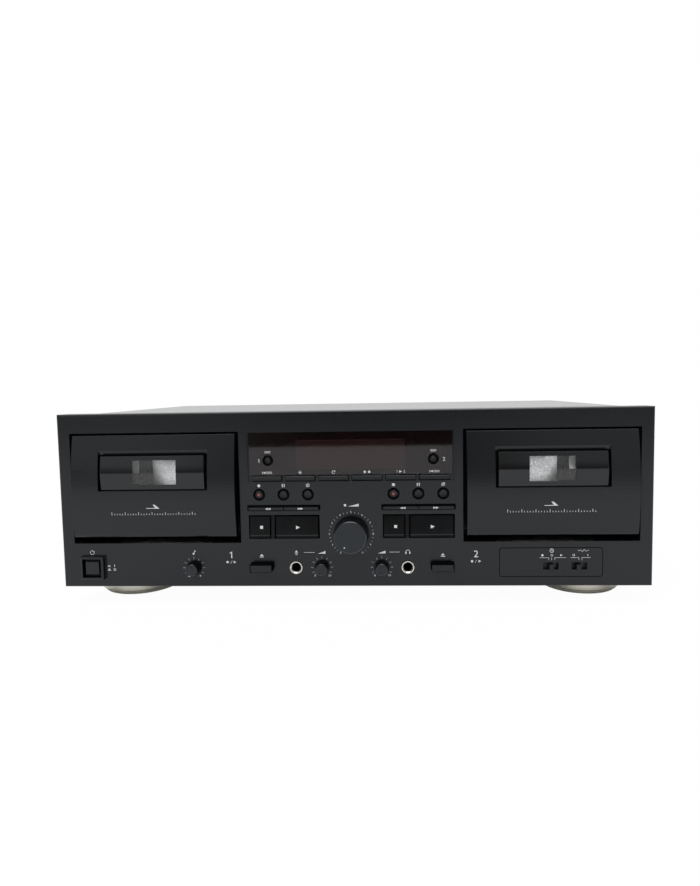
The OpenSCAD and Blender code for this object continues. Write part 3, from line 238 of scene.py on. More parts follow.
def smoked(name, tint, clear_tint, rough=0.025, haze=0.015, ior=1.49, through=1.0):
    """Smoked clear moulding that lets light through to what is behind it."""
    made = Finish(name)
    made.set(Transmission_Weight=through, IOR=ior)
    cloud = made.noise(55.0, 2.0)
    made.colour(made.tint(cloud, shade(tint, 0.94), tint))
    made.rough(made.spread(made.noise(260.0, 4.0), rough, rough + haze, 0.3, 0.8))
    made.bump(made.noise(90.0, 1.0), 0.00002, 0.15)
    clear = made.node("BsdfTransparent", {"Color": (*clear_tint, 1.0)})
    made.blend(made.node("LightPath").outputs["Is Shadow Ray"], clear)
    return made.mat


def brushed(name, colour, rough, stretch, metal=1.0, depth=0.000012, vary=0.1):
    """Metal with a drawn or brushed lay along one axis."""
    made = Finish(name)
    made.set(Metallic=metal)
    lay = made.noise(900.0, 3.0, 0.6, stretch)
    cloud = made.noise(45.0, 3.0)
    made.colour(made.tint(cloud, shade(colour, 1.0 - vary), shade(colour, 1.0 + vary)))
    made.rough(made.spread(lay, rough - 0.07, rough + 0.09, 0.25, 0.75))
    made.bump(lay, depth, 0.6, made.soft(0.0002))
    return made.mat


def turned_foot():
    """Champagne satin with concentric turning marks on all four feet."""
    low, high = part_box("feet")
    radius = 0.033
    made = Finish("champagne_turned")
    made.set(Metallic=1.0)
    x, y, z = made.axes()
    from_x = made.math("SUBTRACT", made.math("ABSOLUTE", x), high[0] - radius)
    middle = (low[1] + high[1]) / 2
    half = (high[1] - low[1]) / 2 - radius
    from_y = made.math("SUBTRACT", made.math("ABSOLUTE", made.math("SUBTRACT", y, middle)), half)
    spot = made.node("CombineXYZ", {"X": made.away(from_x, from_y), "Z": z}).outputs[0]
    cut = made.node("TexNoise", {"Scale": 5200.0, "Vector": spot}).outputs["Fac"]
    tone = made.tint(made.noise(60.0, 3.0), (0.60, 0.58, 0.50), (0.68, 0.66, 0.58))
    normal, rim = made.edge(0.0004)
    made.colour(made.tint(made.math("MULTIPLY", rim, 0.5), tone, (0.74, 0.70, 0.60)))
    made.rough(made.spread(cut, 0.16, 0.26, 0.3, 0.7))
    made.bump(cut, 0.00002, 0.5, normal)
    return made.mat


def galvanised():
    """Zinc-coated sheet with its crystal spangle."""
    made = Finish("zinc_sheet")
    made.set(Metallic=1.0)
    crystal = made.node("TexVoronoi", {"Scale": 130.0, "Vector": made.coords})
    grey = made.node("RGBToBW", (crystal.outputs["Color"],)).outputs[0]
    made.colour(made.tint(grey, (0.46, 0.47, 0.48), (0.62, 0.63, 0.64)))
    made.rough(made.spread(grey, 0.34, 0.55))
    made.bump(made.noise(900.0, 3.0), 0.00002, 0.4, made.soft(0.0003))
    return made.mat


def jack_nickel():
    """Nickel bush outside, black moulding in the bore and behind the panel."""
    made = Finish("jack_nickel")
    x, y, z = made.axes()
    across = made.math("SUBTRACT", made.math("ABSOLUTE", x), JACK_X * MM)
    above = made.math("SUBTRACT", z, BASE + KNOB_ROW * MM)
    metal = made.math("MULTIPLY", made.spread(made.away(across, above), 0.0, 1.0, 3.3 * MM, 3.45 * MM),
                      made.spread(y, 1.0, 0.0, FRONT + 1.8 * MM, FRONT + 2.4 * MM))
    tone = made.tint(made.noise(90.0, 3.0), (0.74, 0.72, 0.67), (0.84, 0.82, 0.77))
    made.colour(made.tint(metal, (0.006, 0.006, 0.006), tone))
    made.set(Metallic=metal)
    uneven = made.spread(made.noise(700.0, 3.0), -0.05, 0.06)
    made.rough(made.math("ADD", made.spread(metal, 0.55, 0.24), uneven))
    made.bump(made.noise(1800.0, 2.0), 0.00001, 0.4, made.soft(0.0003))
    return made.mat


def fibre_board():
    """Circuit board: green mask with a maze of tracks, and a dark red display face at the front."""
    made = Finish("board_mask")
    tracks = made.node("TexBrick", {
        "Scale": 260.0, "Vector": made.coords, "Color1": (0.010, 0.060, 0.026, 1),
        "Color2": (0.014, 0.078, 0.032, 1), "Mortar": (0.030, 0.125, 0.055, 1)})
    tone = made.tint(made.noise(70.0, 3.0), tracks.outputs["Color"], (0.012, 0.055, 0.030))
    y = made.axes()[1]
    face = made.spread(y, 1.0, 0.0, FRONT + 6.0 * MM, FRONT + 8.0 * MM)
    made.colour(made.tint(face, tone, (0.006, 0.003, 0.003)))
    made.rough(made.spread(made.noise(500.0, 3.0), 0.30, 0.50, 0.3, 0.7))
    made.bump(tracks.outputs["Fac"], 0.00004, 0.4)
    return made.mat


def printed(name, colour, specular=0.5):
    """Screen-printed ink with a slightly uneven film."""
    made = Finish(name)
    made.set(Specular_IOR_Level=specular)
    film = made.noise(1700.0, 3.0, 0.6)
    made.colour(made.tint(film, shade(colour, 0.82), shade(colour, 1.1)))
    made.rough(made.spread(film, 0.42, 0.60, 0.3, 0.7))
    made.bump(film, 0.000006, 0.4)
    return made.mat


def sparkle_plate():
    """Satin silver plate with a fine blasted sparkle."""
    made = Finish("blasted_silver")
    made.set(Metallic=1.0)
    grit = made.noise(1000.0, 3.0, 0.8)
    speck = made.spread(grit, 0.0, 1.0, 0.38, 0.62)
    made.colour(made.tint(speck, (0.46, 0.47, 0.48), (1.0, 1.0, 1.0)))
    made.rough(made.spread(grit, 0.44, 0.22, 0.3, 0.7))
    x, _, z = made.axes()
    crown = made.math("ADD", made.spread(made.math("ABSOLUTE", x), *PLATE_LEAN, 0.1435, 0.1545),
                      made.spread(z, -0.012, 0.012, BASE + 0.0776, BASE + 0.0956))
    lift = made.node("CombineXYZ", {"Z": crown}).outputs[0]
    face = made.node("NewGeometry").outputs["Normal"]
    lean = made.node("VectorMath", (face, lift), operation="ADD")
    made.bump(grit, 0.00012, 0.6, lean.outputs[0])
    return made.mat


panel_paint, door_paint = (
    moulded(name, (0.0040, 0.0046, 0.0054), 0.25, grain=0.000006, specular=0.42, mottle=0.012)
    for name in ("panel_paint", "door_paint"))
cover_paint = moulded("cover_paint", (0.010, 0.010, 0.0105), 0.12, grain=0.000002, grain_scale=1500.0,
                      specular=0.6, mottle=0.012)
key_satin = moulded("key_satin", (0.0040, 0.0044, 0.0050), 0.36, specular=0.44)
key_gloss = moulded("key_gloss", (0.0022, 0.0023, 0.0026), 0.22, grain=0.000006, specular=0.30)
knob_satin = moulded("knob_satin", (0.0034, 0.0038, 0.0046), 0.36, specular=0.57,
                     gloss_tint=(0.84, 0.91, 1.0))
# A darker, less glossy copy of the knob moulding for the knobs' sides: painted shade.
knob_side = moulded("knob_side", (0.0020, 0.0022, 0.0026), 0.30, specular=0.22)
knob_rim = moulded("knob_rim", (0.0040, 0.0044, 0.0050), 0.16, grain=0.000002, specular=1.0, mottle=0.01)
# A darker, less glossy copy of the key moulding for the keys' down-facing bevel: painted shade.
key_bevel = moulded("key_bevel", (0.0020, 0.0022, 0.0026), 0.30, specular=0.12)
black_moulding = moulded("black_moulding", (0.004, 0.004, 0.004), 0.55, specular=0.3)
screw_black = moulded("screw_black", (0.016, 0.016, 0.016), 0.34, metal=0.7, rub=3.0)
transformer_iron = moulded("transformer_iron", (0.030, 0.028, 0.026), 0.50, vary=0.3, metal=0.4)
bright_steel = brushed("bright_steel", (0.60, 0.60, 0.60), 0.28, (1.0, 0.06, 0.06))
socket_nickel = brushed("socket_nickel", (0.66, 0.64, 0.60), 0.26, (1.0, 0.1, 1.0))
window_smoke = smoked("window_smoke", (0.93, 0.935, 0.94), (0.92, 0.925, 0.93), 0.004, 0.004, ior=1.45)
display_smoke = smoked("display_smoke", (0.22, 0.095, 0.10), (0.22, 0.095, 0.10), 0.03, 0.02, through=0.983)
spring_satin = brushed("spring_satin", (0.62, 0.63, 0.63), 0.42, (0.2, 1.0, 1.0), metal=0.3,
                       depth=0.000002, vary=0.04)
spindle_dark = moulded("spindle_dark", (0.018, 0.018, 0.019), 0.42)
light_ink = printed("light_ink", (0.54, 0.55, 0.56))
window_black = moulded("window_black", (0.0022, 0.0022, 0.0024), 0.06, grain=0.000001, edge=0.0005,
                       mottle=0.01)
# Flat black ink for printed pointers and lines; it is also laid as painted shade on key and eject sides and
# tops, in the gaps beside the ejects and ribs, and in the gap above each pane.
mask_ink = printed("mask_ink", (0.0030, 0.0030, 0.0030), 0.0)

DRESS = (
    (panel_paint, ["front_panel"]), (cover_paint, ["top_cover", "rear_panel"]),
    (galvanised(), ["chassis_tray"]), (turned_foot(), ["feet"]), (screw_black, ["case_screws"]),
    (fibre_board(), ["control_board", "main_board"]), (jack_nickel(), ["front_jacks"]),
    (transformer_iron, ["power_transformer", "motor_drives"]), (socket_nickel, ["rear_sockets"]),
    (black_moulding, ["mains_inlet", "transport_frames", "cassette_holder_1", "cassette_holder_2"]),
    (display_smoke, ["display_window"]),
    (spindle_dark, [f"{reel}_spindle_{deck}" for reel in ("supply", "takeup") for deck in (1, 2)]),
    (bright_steel, [f"{part}_{deck}" for part in ("capstan", "head_plate") for deck in (1, 2)]),
)


def dress_solids():
    """Give each node its finish; the keys that aren't listed are satin."""
    finish_of = {node: finish for finish, names in DRESS for node in names}
    for node, solid in nodes.items():
        for slot in solid.material_slots:
            slot.material = finish_of.get(node, key_satin)


dress_solids()


# Flat shapes in millimetres, collected on a sheet and then laid on a solid's front face

class Sheet:
    def __init__(self):
        self.bm = bmesh.new()

    def patch(self, outline):
        """Thin closed prism on a simple outline."""
        new = self.bm.verts.new
        skin(self.bm, [[new((x, y, lift)) for x, y in outline] for lift in (INK_LOW, INK_HIGH)])

    def bar(self, x, y, wide, tall, turn=0.0):
        c, s = math.cos(turn), math.sin(turn)
        a, b = wide / 2, tall / 2
        corners = ((-a, -b), (a, -b), (a, b), (-a, b))
        self.patch([(x + p * c - q * s, y + p * s + q * c) for p, q in corners])

    def stroke(self, points, wide):
        for (ax, ay), (bx, by) in zip(points, points[1:]):
            length = math.hypot(bx - ax, by - ay)
            self.bar((ax + bx) / 2, (ay + by) / 2, length + wide * 0.6, wide, math.atan2(by - ay, bx - ax))

    def disc(self, x, y, radius, sides=24):
        spots = [k * math.tau / sides for k in range(sides)]
        self.patch([(x + radius * math.cos(t), y + radius * math.sin(t)) for t in spots])

    def arc(self, x, y, radius, wide, start, end, sides=20):
        """Part of a ring, in degrees counter-clockwise from the right."""
        spots = [math.radians(start + (end - start) * k / sides) for k in range(sides + 1)]
        for a, b in zip(spots, spots[1:]):
            inner, outer = radius - wide / 2, radius + wide / 2
            self.patch([(x + r * math.cos(t), y + r * math.sin(t))
                        for r, t in ((inner, a), (outer, a), (outer, b), (inner, b))])

    def arrow(self, x, y, long, tall):
        """Solid triangle pointing right, or left when long is negative."""
        self.patch([(x - long / 2, y - tall / 2), (x + long / 2, y), (x - long / 2, y + tall / 2)])

    def figure(self, words, x, y, tall, wide=1.0):
        curve = bpy.data.curves.new("figure", "FONT")
        curve.body = words
        curve.resolution_u = 3
        curve.extrude = 0.5
        drawn = bpy.data.objects.new("figure", curve)
        scene.collection.objects.link(drawn)
        mesh = baked(drawn)
        bpy.data.curves.remove(curve)
        spots = [vert.co for vert in mesh.vertices]
        left, right = min(c.x for c in spots), max(c.x for c in spots)
        foot, top = min(c.y for c in spots), max(c.y for c in spots)
        scale = tall / (top - foot)
        for vert in mesh.vertices:
            vert.co.x = (vert.co.x - (left + right) / 2) * scale * wide
            vert.co.y = (vert.co.y - (foot + top) / 2) * scale
        self.add(mesh, x, y)

    def add(self, mesh, x, y):
        for vert in mesh.vertices:
            vert.co = (vert.co.x + x, vert.co.y + y, INK_HIGH if vert.co.z > 0 else INK_LOW)
        self.bm.from_mesh(mesh)
        bpy.data.meshes.remove(mesh)

    def lay(self, name, body, under, ink, slot="pale"):
        """Lay the sheet on the front of a node or piece and make it one piece that rides on a body."""
        solid = nodes[under] if under in nodes else bpy.data.objects[under]
        tree = BVHTree.FromPolygons([vert.co for vert in solid.data.vertices],
                                    [tuple(face.vertices) for face in solid.data.polygons])
        depth = FRONT
        for vert in self.bm.verts:
            x, v, lift = vert.co
            spot = tree.ray_cast(Vector((x * MM, FRONT - 0.2, BASE + v * MM)), Vector((0, 1, 0)))[0]
            depth = spot.y if spot else depth
            vert.co = (x * MM, depth - lift * MM, BASE + v * MM)
        bmesh.ops.remove_doubles(self.bm, verts=self.bm.verts, dist=MERGE)
        return piece_from(self.bm, name, body, ink)


def baked(holder):
    """The plain mesh of an object with what shapes it applied; the object goes."""
    mesh = bpy.data.meshes.new_from_object(holder.evaluated_get(bpy.context.evaluated_depsgraph_get()))
    bpy.data.objects.remove(holder)
    return mesh


def skin(bm, rings, caps=True):
    """Faces from each ring of vertices to the next, where a ring may be one point, and over both ends."""
    for first, second in zip(rings, rings[1:]):
        for k in range(max(len(first), len(second))):
            corners = (first, k), (first, k + 1), (second, k + 1), (second, k)
            loop = list(dict.fromkeys(ring[spot % len(ring)] for ring, spot in corners))
            if len(loop) > 2:
                bm.faces.new(loop)
    if caps:
        bm.faces.new(rings[0])
        bm.faces.new(rings[-1])
    return bm


def object_of(bm, name):
    """Put a mesh in the making into the scene as an object."""
    mesh = bpy.data.meshes.new(name)
    bm.to_mesh(mesh)
    bm.free()
    made = bpy.data.objects.new(name, mesh)
    scene.collection.objects.link(made)
    return made


def piece_from(bm, name, body, finish):
    """Make a piece with one finish that rides on a body."""
    bmesh.ops.recalc_face_normals(bm, faces=bm.faces)
    made = object_of(bm, name)
    made.data.materials.append(finish)
    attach(made, body)
    return made


# Geometry trees for what repeats

def named_tree(name, inputs):
    tree = bpy.data.node_groups.new(name, "GeometryNodeTree")
    for label, kind in inputs:
        tree.interface.new_socket(label, in_out="INPUT", socket_type="NodeSocket" + kind)
    tree.interface.new_socket("Geometry", in_out="OUTPUT", socket_type="NodeSocketGeometry")
    index = tree.nodes.new("GeometryNodeInputIndex").outputs[0]
    return tree, tree.nodes.new("NodeGroupInput").outputs, index


def vector(tree, *terms):
    return new_node(tree, "ShaderNodeCombineXYZ", terms).outputs[0]


def tick_ring_tree():
    """Strokes on part of a circle, clockwise from the top, with every so many left out for figures."""
    tree, values, index = named_tree("tick_ring", (
        ("Ticks", "Int"), ("Radius", "Float"), ("Length", "Float"), ("Width", "Float"), ("Start", "Float"),
        ("Sweep", "Float"), ("Leave out every", "Int"), ("Ink", "Material")))
    calc = partial(tree_math, tree)
    share = calc("DIVIDE", index, calc("SUBTRACT", values["Ticks"], 1.0))
    angle = calc("ADD", values["Start"], calc("MULTIPLY", share, values["Sweep"]))
    across, up = (calc("MULTIPLY", calc(how, angle), values["Radius"]) for how in ("SINE", "COSINE"))
    spot = vector(tree, across, up)
    size = vector(tree, values["Width"], values["Length"], 0.1)
    turn = vector(tree, 0.0, 0.0, calc("MULTIPLY", angle, -1.0))
    kept = calc("GREATER_THAN", calc("MODULO", index, values["Leave out every"]), 0.5)
    all_kept = calc("LESS_THAN", values["Leave out every"], 1.5)
    return close_tree(tree, values, spot, size, Rotation=turn,
                      Selection=calc("MAXIMUM", kept, all_kept))


def tick_row_tree():
    """Strokes side by side on one base line, with every so many longer."""
    tree, values, index = named_tree("tick_row", (
        ("Ticks", "Int"), ("Pitch", "Float"), ("Short", "Float"), ("Tall", "Float"), ("Width", "Float"),
        ("Tall every", "Int"), ("Ink", "Material")))
    calc = partial(tree_math, tree)
    middle = calc("MULTIPLY", calc("SUBTRACT", values["Ticks"], 1.0), 0.5)
    is_tall = calc("LESS_THAN", calc("MODULO", index, values["Tall every"]), 0.5)
    reach = calc("SUBTRACT", values["Tall"], values["Short"])
    height = calc("ADD", values["Short"], calc("MULTIPLY", is_tall, reach))
    along = calc("MULTIPLY", calc("SUBTRACT", index, middle), values["Pitch"])
    spot = vector(tree, along, calc("MULTIPLY", height, 0.5))
    scale = vector(tree, values["Width"], height, 1.0)
    return close_tree(tree, values, spot, (1.0, 1.0, 0.1), Scale=scale)


def close_tree(tree, values, spot, size, **sockets):
    """Put a tick of this size on each point and ink them all."""
    points = new_node(tree, "GeometryNodePoints", {"Count": values["Ticks"], "Position": spot})
    tick = new_node(tree, "GeometryNodeMeshCube", {"Size": size})
    sockets.update(Points=points.outputs[0], Instance=tick.outputs["Mesh"])
    placed = new_node(tree, "GeometryNodeInstanceOnPoints", sockets)
    real = new_node(tree, "GeometryNodeRealizeInstances", (placed.outputs["Instances"],))
    inked = new_node(tree, "GeometryNodeSetMaterial", {"Geometry": real.outputs[0],
                                                       "Material": values["Ink"]})
    new_node(tree, "NodeGroupOutput", (inked.outputs[0],))
    return tree


def grown(tree, **values):
    """The plain mesh that a tree gives for these inputs."""
    holder = bpy.data.objects.new("grown", bpy.data.meshes.new("grown"))
    scene.collection.objects.link(holder)
    modifier = holder.modifiers.new("grown", "NODES")
    modifier.node_group = tree
    for item in tree.interface.items_tree:
        if item.in_out == "INPUT":
            modifier[item.identifier] = values[item.name.replace(" ", "_")]
    return baked(holder)


TICK_RING = tick_ring_tree()
TICK_ROW = tick_row_tree()


def tick_ring(sheet, x, y, ticks, radius, length, width, start, sweep, leave_out=1):
    """Ticks round a point, with their start and sweep in degrees clockwise from the top."""
    sheet.add(grown(TICK_RING, Ticks=ticks, Radius=radius, Length=length, Width=width, Ink=light_ink,
                    Start=math.radians(start), Sweep=math.radians(sweep), Leave_out_every=leave_out), x, y)


# Picture marks: each is drawn about a point, in millimetres

def power_mark(sheet, x, y, r=1.5):
    sheet.arc(x, y, r, 0.36, 125, 415)
    sheet.bar(x, y + r * 0.75, 0.36, r * 1.15)


def one_mark(sheet, x, y, tall):
    """A figure one with its flag."""
    outline = ((0.13, -0.5), (0.13, 0.5), (0.0, 0.5), (-0.22, 0.33), (-0.22, 0.19), (-0.02, 0.32),
               (-0.02, -0.5))
    sheet.patch([(x + a * tall, y + b * tall) for a, b in outline])


def eject_mark(sheet, x, y):
    sheet.patch([(x - 1.5, y - 0.3), (x + 1.5, y - 0.3), (x, y + 1.35)])
    sheet.bar(x, y - 1.0, 3.0, 0.55)


def record_mark(sheet, x, y):
    sheet.disc(x, y, 1.1)


def pause_mark(sheet, x, y):
    for side in (-1, 1):
        sheet.bar(x + side * 0.72, y, 0.62, 2.3)


def mute_mark(sheet, x, y):
    sheet.arc(x, y, 1.05, 0.36, 0, 360)
    sheet.stroke([(x - 1.15, y - 1.15), (x + 1.15, y + 1.15)], 0.34)


def ramp_mark(sheet, x, y, wide=5.6, tall=1.9):
    sheet.patch([(x - wide / 2, y - tall / 2), (x + wide / 2, y - tall / 2), (x + wide / 2, y + tall / 2)])


def mic_mark(sheet, x, y):
    outline = ((-0.6, 0.0), (0.6, 0.0), (0.6, 1.1), (0.3, 1.5), (-0.3, 1.5), (-0.6, 1.1))
    sheet.patch([(x + a, y + b) for a, b in outline])
    sheet.arc(x, y + 0.2, 1.15, 0.3, 180, 360, 12)
    sheet.bar(x, y - 1.25, 0.3, 0.75)
    sheet.bar(x, y - 1.6, 1.7, 0.3)


def phones_mark(sheet, x, y):
    sheet.arc(x, y - 0.1, 1.5, 0.36, 0, 180)
    for side in (-1, 1):
        sheet.bar(x + side * 1.4, y - 0.8, 0.85, 1.5)


def sun_mark(sheet, x, y):
    sheet.disc(x, y, 0.6)
    tick_ring(sheet, x, y, 9, 1.2, 0.55, 0.26, 0.0, 360.0)


def loop_mark(sheet, x, y):
    sheet.arc(x, y, 1.05, 0.36, 40, 330)
    sheet.patch([(x + 0.35, y + 0.35), (x + 1.65, y + 0.35), (x + 1.0, y + 1.35)])


def zero_mark(sheet, x, y):
    sheet.bar(x - 3.3, y, 0.4, 1.8)
    sheet.arrow(x - 2.0, y, -1.8, 1.8)
    sheet.figure("000", x + 1.6, y, 1.75, 1.15)


def note_mark(sheet, x, y):
    sheet.disc(x - 0.55, y - 1.1, 0.72)
    sheet.bar(x + 0.02, y + 0.25, 0.32, 2.8)
    sheet.patch([(x - 0.12, y + 1.65), (x + 1.2, y + 0.95), (x + 1.2, y + 0.45), (x - 0.12, y + 1.05)])


def clock_mark(sheet, x, y):
    sheet.arc(x, y, 1.35, 0.32, 0, 360)
    sheet.stroke([(x, y + 0.9), (x, y), (x + 0.65, y - 0.35)], 0.3)


def wave_mark(sheet, x, y):
    points = [(x + k * 0.42, y + math.sin(k * 0.9) * (1 - abs(k) / 10)) for k in range(-9, 10)]
    sheet.stroke(points, 0.3)


# Printed marks on the cabinet

def panel_print():
    sheet = Sheet()
    power_mark(sheet, -195.0, 26.4)
    sheet.bar(-178.4, 16.2, 0.42, 1.75)
    sheet.arc(-178.4, 13.3, 0.78, 0.36, 0, 360)
    for v, out in ((16.2, 0.0), (13.3, 0.5)):
        sheet.bar(-182.6, v - 0.65, 2.6, 0.3)
        sheet.bar(-182.6, v + out * 0.3, 1.3, 0.5 + out)
    note_mark(sheet, -117.4, 26.2)
    sheet.bar(-121.9, 7.9, 1.6, 0.36)
    sheet.bar(-113.4, 8.3, 1.6, 0.36)
    sheet.bar(-113.4, 8.3, 0.36, 1.6)
    one_mark(sheet, -89.6, 24.0, 5.0)
    sheet.figure("2", 90.9, 24.2, 5.0)
    for x in (-89.7, 90.9):
        sheet.disc(x - 2.9, 18.7, 0.9)
        sheet.stroke([(x - 0.7, 17.7), (x + 0.6, 19.7)], 0.28)
        sheet.arrow(x + 2.7, 18.7, 1.9, 1.9)
    for side in (-1, 1):
        eject_mark(sheet, side * 66.8, 23.4)
        sheet.bar(side * 31.4, 25.75, 7.6, 0.26)
        ramp_mark(sheet, side * 22.1, 25.75)
        for words, shift in (("0", -5.2), ("10", 5.6)):
            sheet.figure(words, LEVEL_X * side + shift, 8.4, 1.6, 1.1)
        for k, mark in ((-1, record_mark), (0, pause_mark), (1, mute_mark)):
            mark(sheet, BLOCK * side + ROUND_STEP * k, 75.7)
    for x in (-LEVEL_X, LEVEL_X, PITCH_X):
        tick_ring(sheet, x, KNOB_ROW, 9, 7.35, 1.6, 0.17, -120.0, 240.0)
    mic_mark(sheet, -40.9, 25.7)
    phones_mark(sheet, 41.3, 25.9)
    ramp_mark(sheet, 1.8, 60.8, 8.0, 2.0)
    sheet.disc(-4.2, 60.8, 0.95)
    tick_ring(sheet, 0.0, DIAL_ROW, 31, 16.0, 1.3, 0.16, -150.0, 300.0, 3)
    for number in range(11):
        angle = math.radians(-150 + 30 * number)
        spot = (FIGURE_RING * math.sin(angle), DIAL_ROW + FIGURE_RING * math.cos(angle))
        if number == 1:
            one_mark(sheet, *spot, FIGURE_TALL)
        else:
            sheet.figure(str(number), *spot, FIGURE_TALL)
    clock_mark(sheet, 145.4, 26.3)
    sheet.disc(138.7, 22.9, 0.85)
    sheet.arc(145.45, 22.9, 0.68, 0.32, 0, 360)
    sheet.arrow(152.3, 22.9, 1.7, 1.7)
    wave_mark(sheet, 167.9, 26.3)
    sheet.arc(161.1, 22.9, 0.68, 0.32, 0, 360)
    sheet.bar(171.2, 22.9, 0.38, 1.5)
    for points in ([(136.7, 21.1), (143.3, 21.1), (143.3, 19.35)], [(145.3, 21.1), (145.3, 19.35)],
                   [(155.5, 21.1), (147.6, 21.1), (147.6, 19.35)],
                   [(159.05, 21.1), (164.85, 21.1), (164.85, 19.35)],
                   [(173.07, 21.1), (167.0, 21.1), (167.0, 19.35)]):
        sheet.stroke(points, 0.24)
    sheet.lay("panel_print", "cabinet", "front_panel", light_ink)


def display_print():
    sheet = Sheet()
    for side in (-1, 1):
        sheet.figure("000", side * COUNTER_X, 100.4, 1.7, 1.2)
    one_mark(sheet, -67.0, 94.0, 2.7)
    sheet.figure("2", 68.1, 94.0, 2.7)
    row = [(k - 2.5) * 24.5 for k in range(6)]
    for k, mark in ((0, zero_mark), (1, sun_mark), (2, loop_mark), (5, zero_mark)):
        mark(sheet, row[k], LEGEND_ROW)
    for shift in (-1.6, 1.6):
        sheet.disc(row[3] + shift, LEGEND_ROW, 0.9)
    one_mark(sheet, row[4] - 2.6, LEGEND_ROW, 1.8)
    sheet.arrow(row[4], LEGEND_ROW, 2.0, 1.8)
    sheet.figure("2", row[4] + 2.6, LEGEND_ROW, 1.8)
    sheet.lay("display_print", "cabinet", "display_window", light_ink)


def key_prints():
    """Arrows on the wind and play keys, and a square on the stop keys."""
    for deck, side in DECKS:
        for key, out, v, arrows in (
                ("rewind", -11.5, 58.8, ((-0.95, -2.0, 1.7), (0.95, -2.0, 1.7))),
                ("forward", 12.6, 58.8, ((-0.95, 2.0, 1.7), (0.95, 2.0, 1.7))),
                ("stop", -16.8, 44.85, ()), ("play", 10.2, 44.6, ((0.0, 2.9, 2.6),))):
            sheet, x = Sheet(), BLOCK * side + out
            for shift, long, tall in arrows:
                sheet.arrow(x + shift, v, long, tall)
            if not arrows:
                sheet.bar(x, v, 2.1, 2.1)
            node = f"{key}_button_{deck}"
            sheet.lay(f"{key}_print_{deck}", node, f"{node}_head", light_ink)


def door_prints():
    for deck, middle in ((1, -145.0), (2, 143.7)):
        sheet = Sheet()
        half_head = ((-5.0, -0.2), (4.8, -0.2), (1.3, 2.7), (-0.2, 2.7), (1.7, 0.25), (-5.0, 0.25))
        sheet.patch([(middle + a, 60.6 + b) for a, b in half_head])
        sheet.add(grown(TICK_ROW, Ticks=32, Pitch=2.0, Short=1.1, Tall=2.2, Width=0.34, Tall_every=5,
                        Ink=light_ink), middle, 55.6)
        sheet.lay(f"door_print_{deck}", f"door_{deck}", f"door_front_{deck}", light_ink)


def knob_prints():
    sheet = Sheet()
    sheet.disc(-4.3, DIAL_ROW - 7.3, 0.5)
    sheet.lay("record_level_pointer", "record_level_knob", "record_level_turned", light_ink)
    for knob, x, turn in (("mic_level", -LEVEL_X, -150), ("phones_level", LEVEL_X, -150),
                          ("pitch", PITCH_X, 0)):
        sheet = Sheet()
        angle = math.radians(turn)
        sheet.bar(x + 3.1 * math.sin(angle), KNOB_ROW + 3.1 * math.cos(angle), 0.55, 2.0, -angle)
        sheet.lay(f"{knob}_pointer", f"{knob}_knob", f"{knob}_turned", mask_ink)


panel_print()
display_print()
door_prints()


# Knobs, key heads, doors, windows and trim

def turned(profile, centre, sides=32, way=-1, bm=None):
    """Closed solid turned about an axis along Y: profile of (radius, reach towards the front)."""
    bm = bm or bmesh.new()
    spots = [k * math.tau / sides for k in range(sides)]
    rings = []
    for radius, reach in profile:
        x, y, z = centre[0], centre[1] + way * reach * MM, centre[2]
        rings.append([bm.verts.new((x + radius * MM * math.cos(t), y, z + radius * MM * math.sin(t)))
                      for t in (spots if radius else spots[:1])])
    skin(bm, rings, caps=False)
    if profile[0] == profile[-1]:
        bmesh.ops.remove_doubles(bm, verts=bm.verts, dist=MERGE)
    return bm


def cad_copy(node):
    """A node's mesh with its seams merged, to be reshaped."""
    bm = bmesh.new()
    bm.from_mesh(nodes[node].data)
    bmesh.ops.remove_doubles(bm, verts=bm.verts, dist=MERGE)
    return bm


def face_finishes(made, finishes, pick):
    """Give a piece more finishes, and let pick choose one for each face from its normal."""
    for finish in finishes:
        made.data.materials.append(finish)
    for face in made.data.polygons:
        face.material_index = pick(face.normal)


def level_knobs():
    """Knobs with a tapered side, a cut rim that catches the light and a shallow dished face.

    The side takes a darker, less glossy copy of the knob moulding: painted shade.
    """
    small = (5.45, 4.3, 4.0, 7.0, 2.0)
    for knob, x, v, (base, neck, face, reach, shaft) in (
            ("record_level", 0.0, DIAL_ROW, (13.0, 11.7, 11.2, 12.0, 3.0)),
            ("mic_level", -LEVEL_X, KNOB_ROW, small), ("phones_level", LEVEL_X, KNOB_ROW, small),
            ("pitch", PITCH_X, KNOB_ROW, small)):
        node = f"{knob}_knob"
        back = (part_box(node)[1][1] - FRONT) / MM
        rim = neck - face
        profile = [(0, -back), (shaft, -back), (shaft, 0.4), (base - 0.2, 0.4), (base, 0.6),
                   (neck, reach - rim), (face + 0.4 * rim, reach - 0.3 * rim), (face, reach),
                   (face - 1.2, reach), (0, reach - 0.12)]
        bm = turned(profile, (x * MM, FRONT, BASE + v * MM), 96)
        # The knob's side takes the darker copy of the moulding as painted shade; rim and face get their own
        # finishes.
        made = piece_from(bm, f"{knob}_turned", node, knob_side)
        face_finishes(made, (knob_rim, knob_satin), lambda way: (way.y < -0.35) + (way.y < -0.95))
        made.data.shade_smooth()
        made.data.set_sharp_from_angle(angle=math.radians(18))
        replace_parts(made, node)


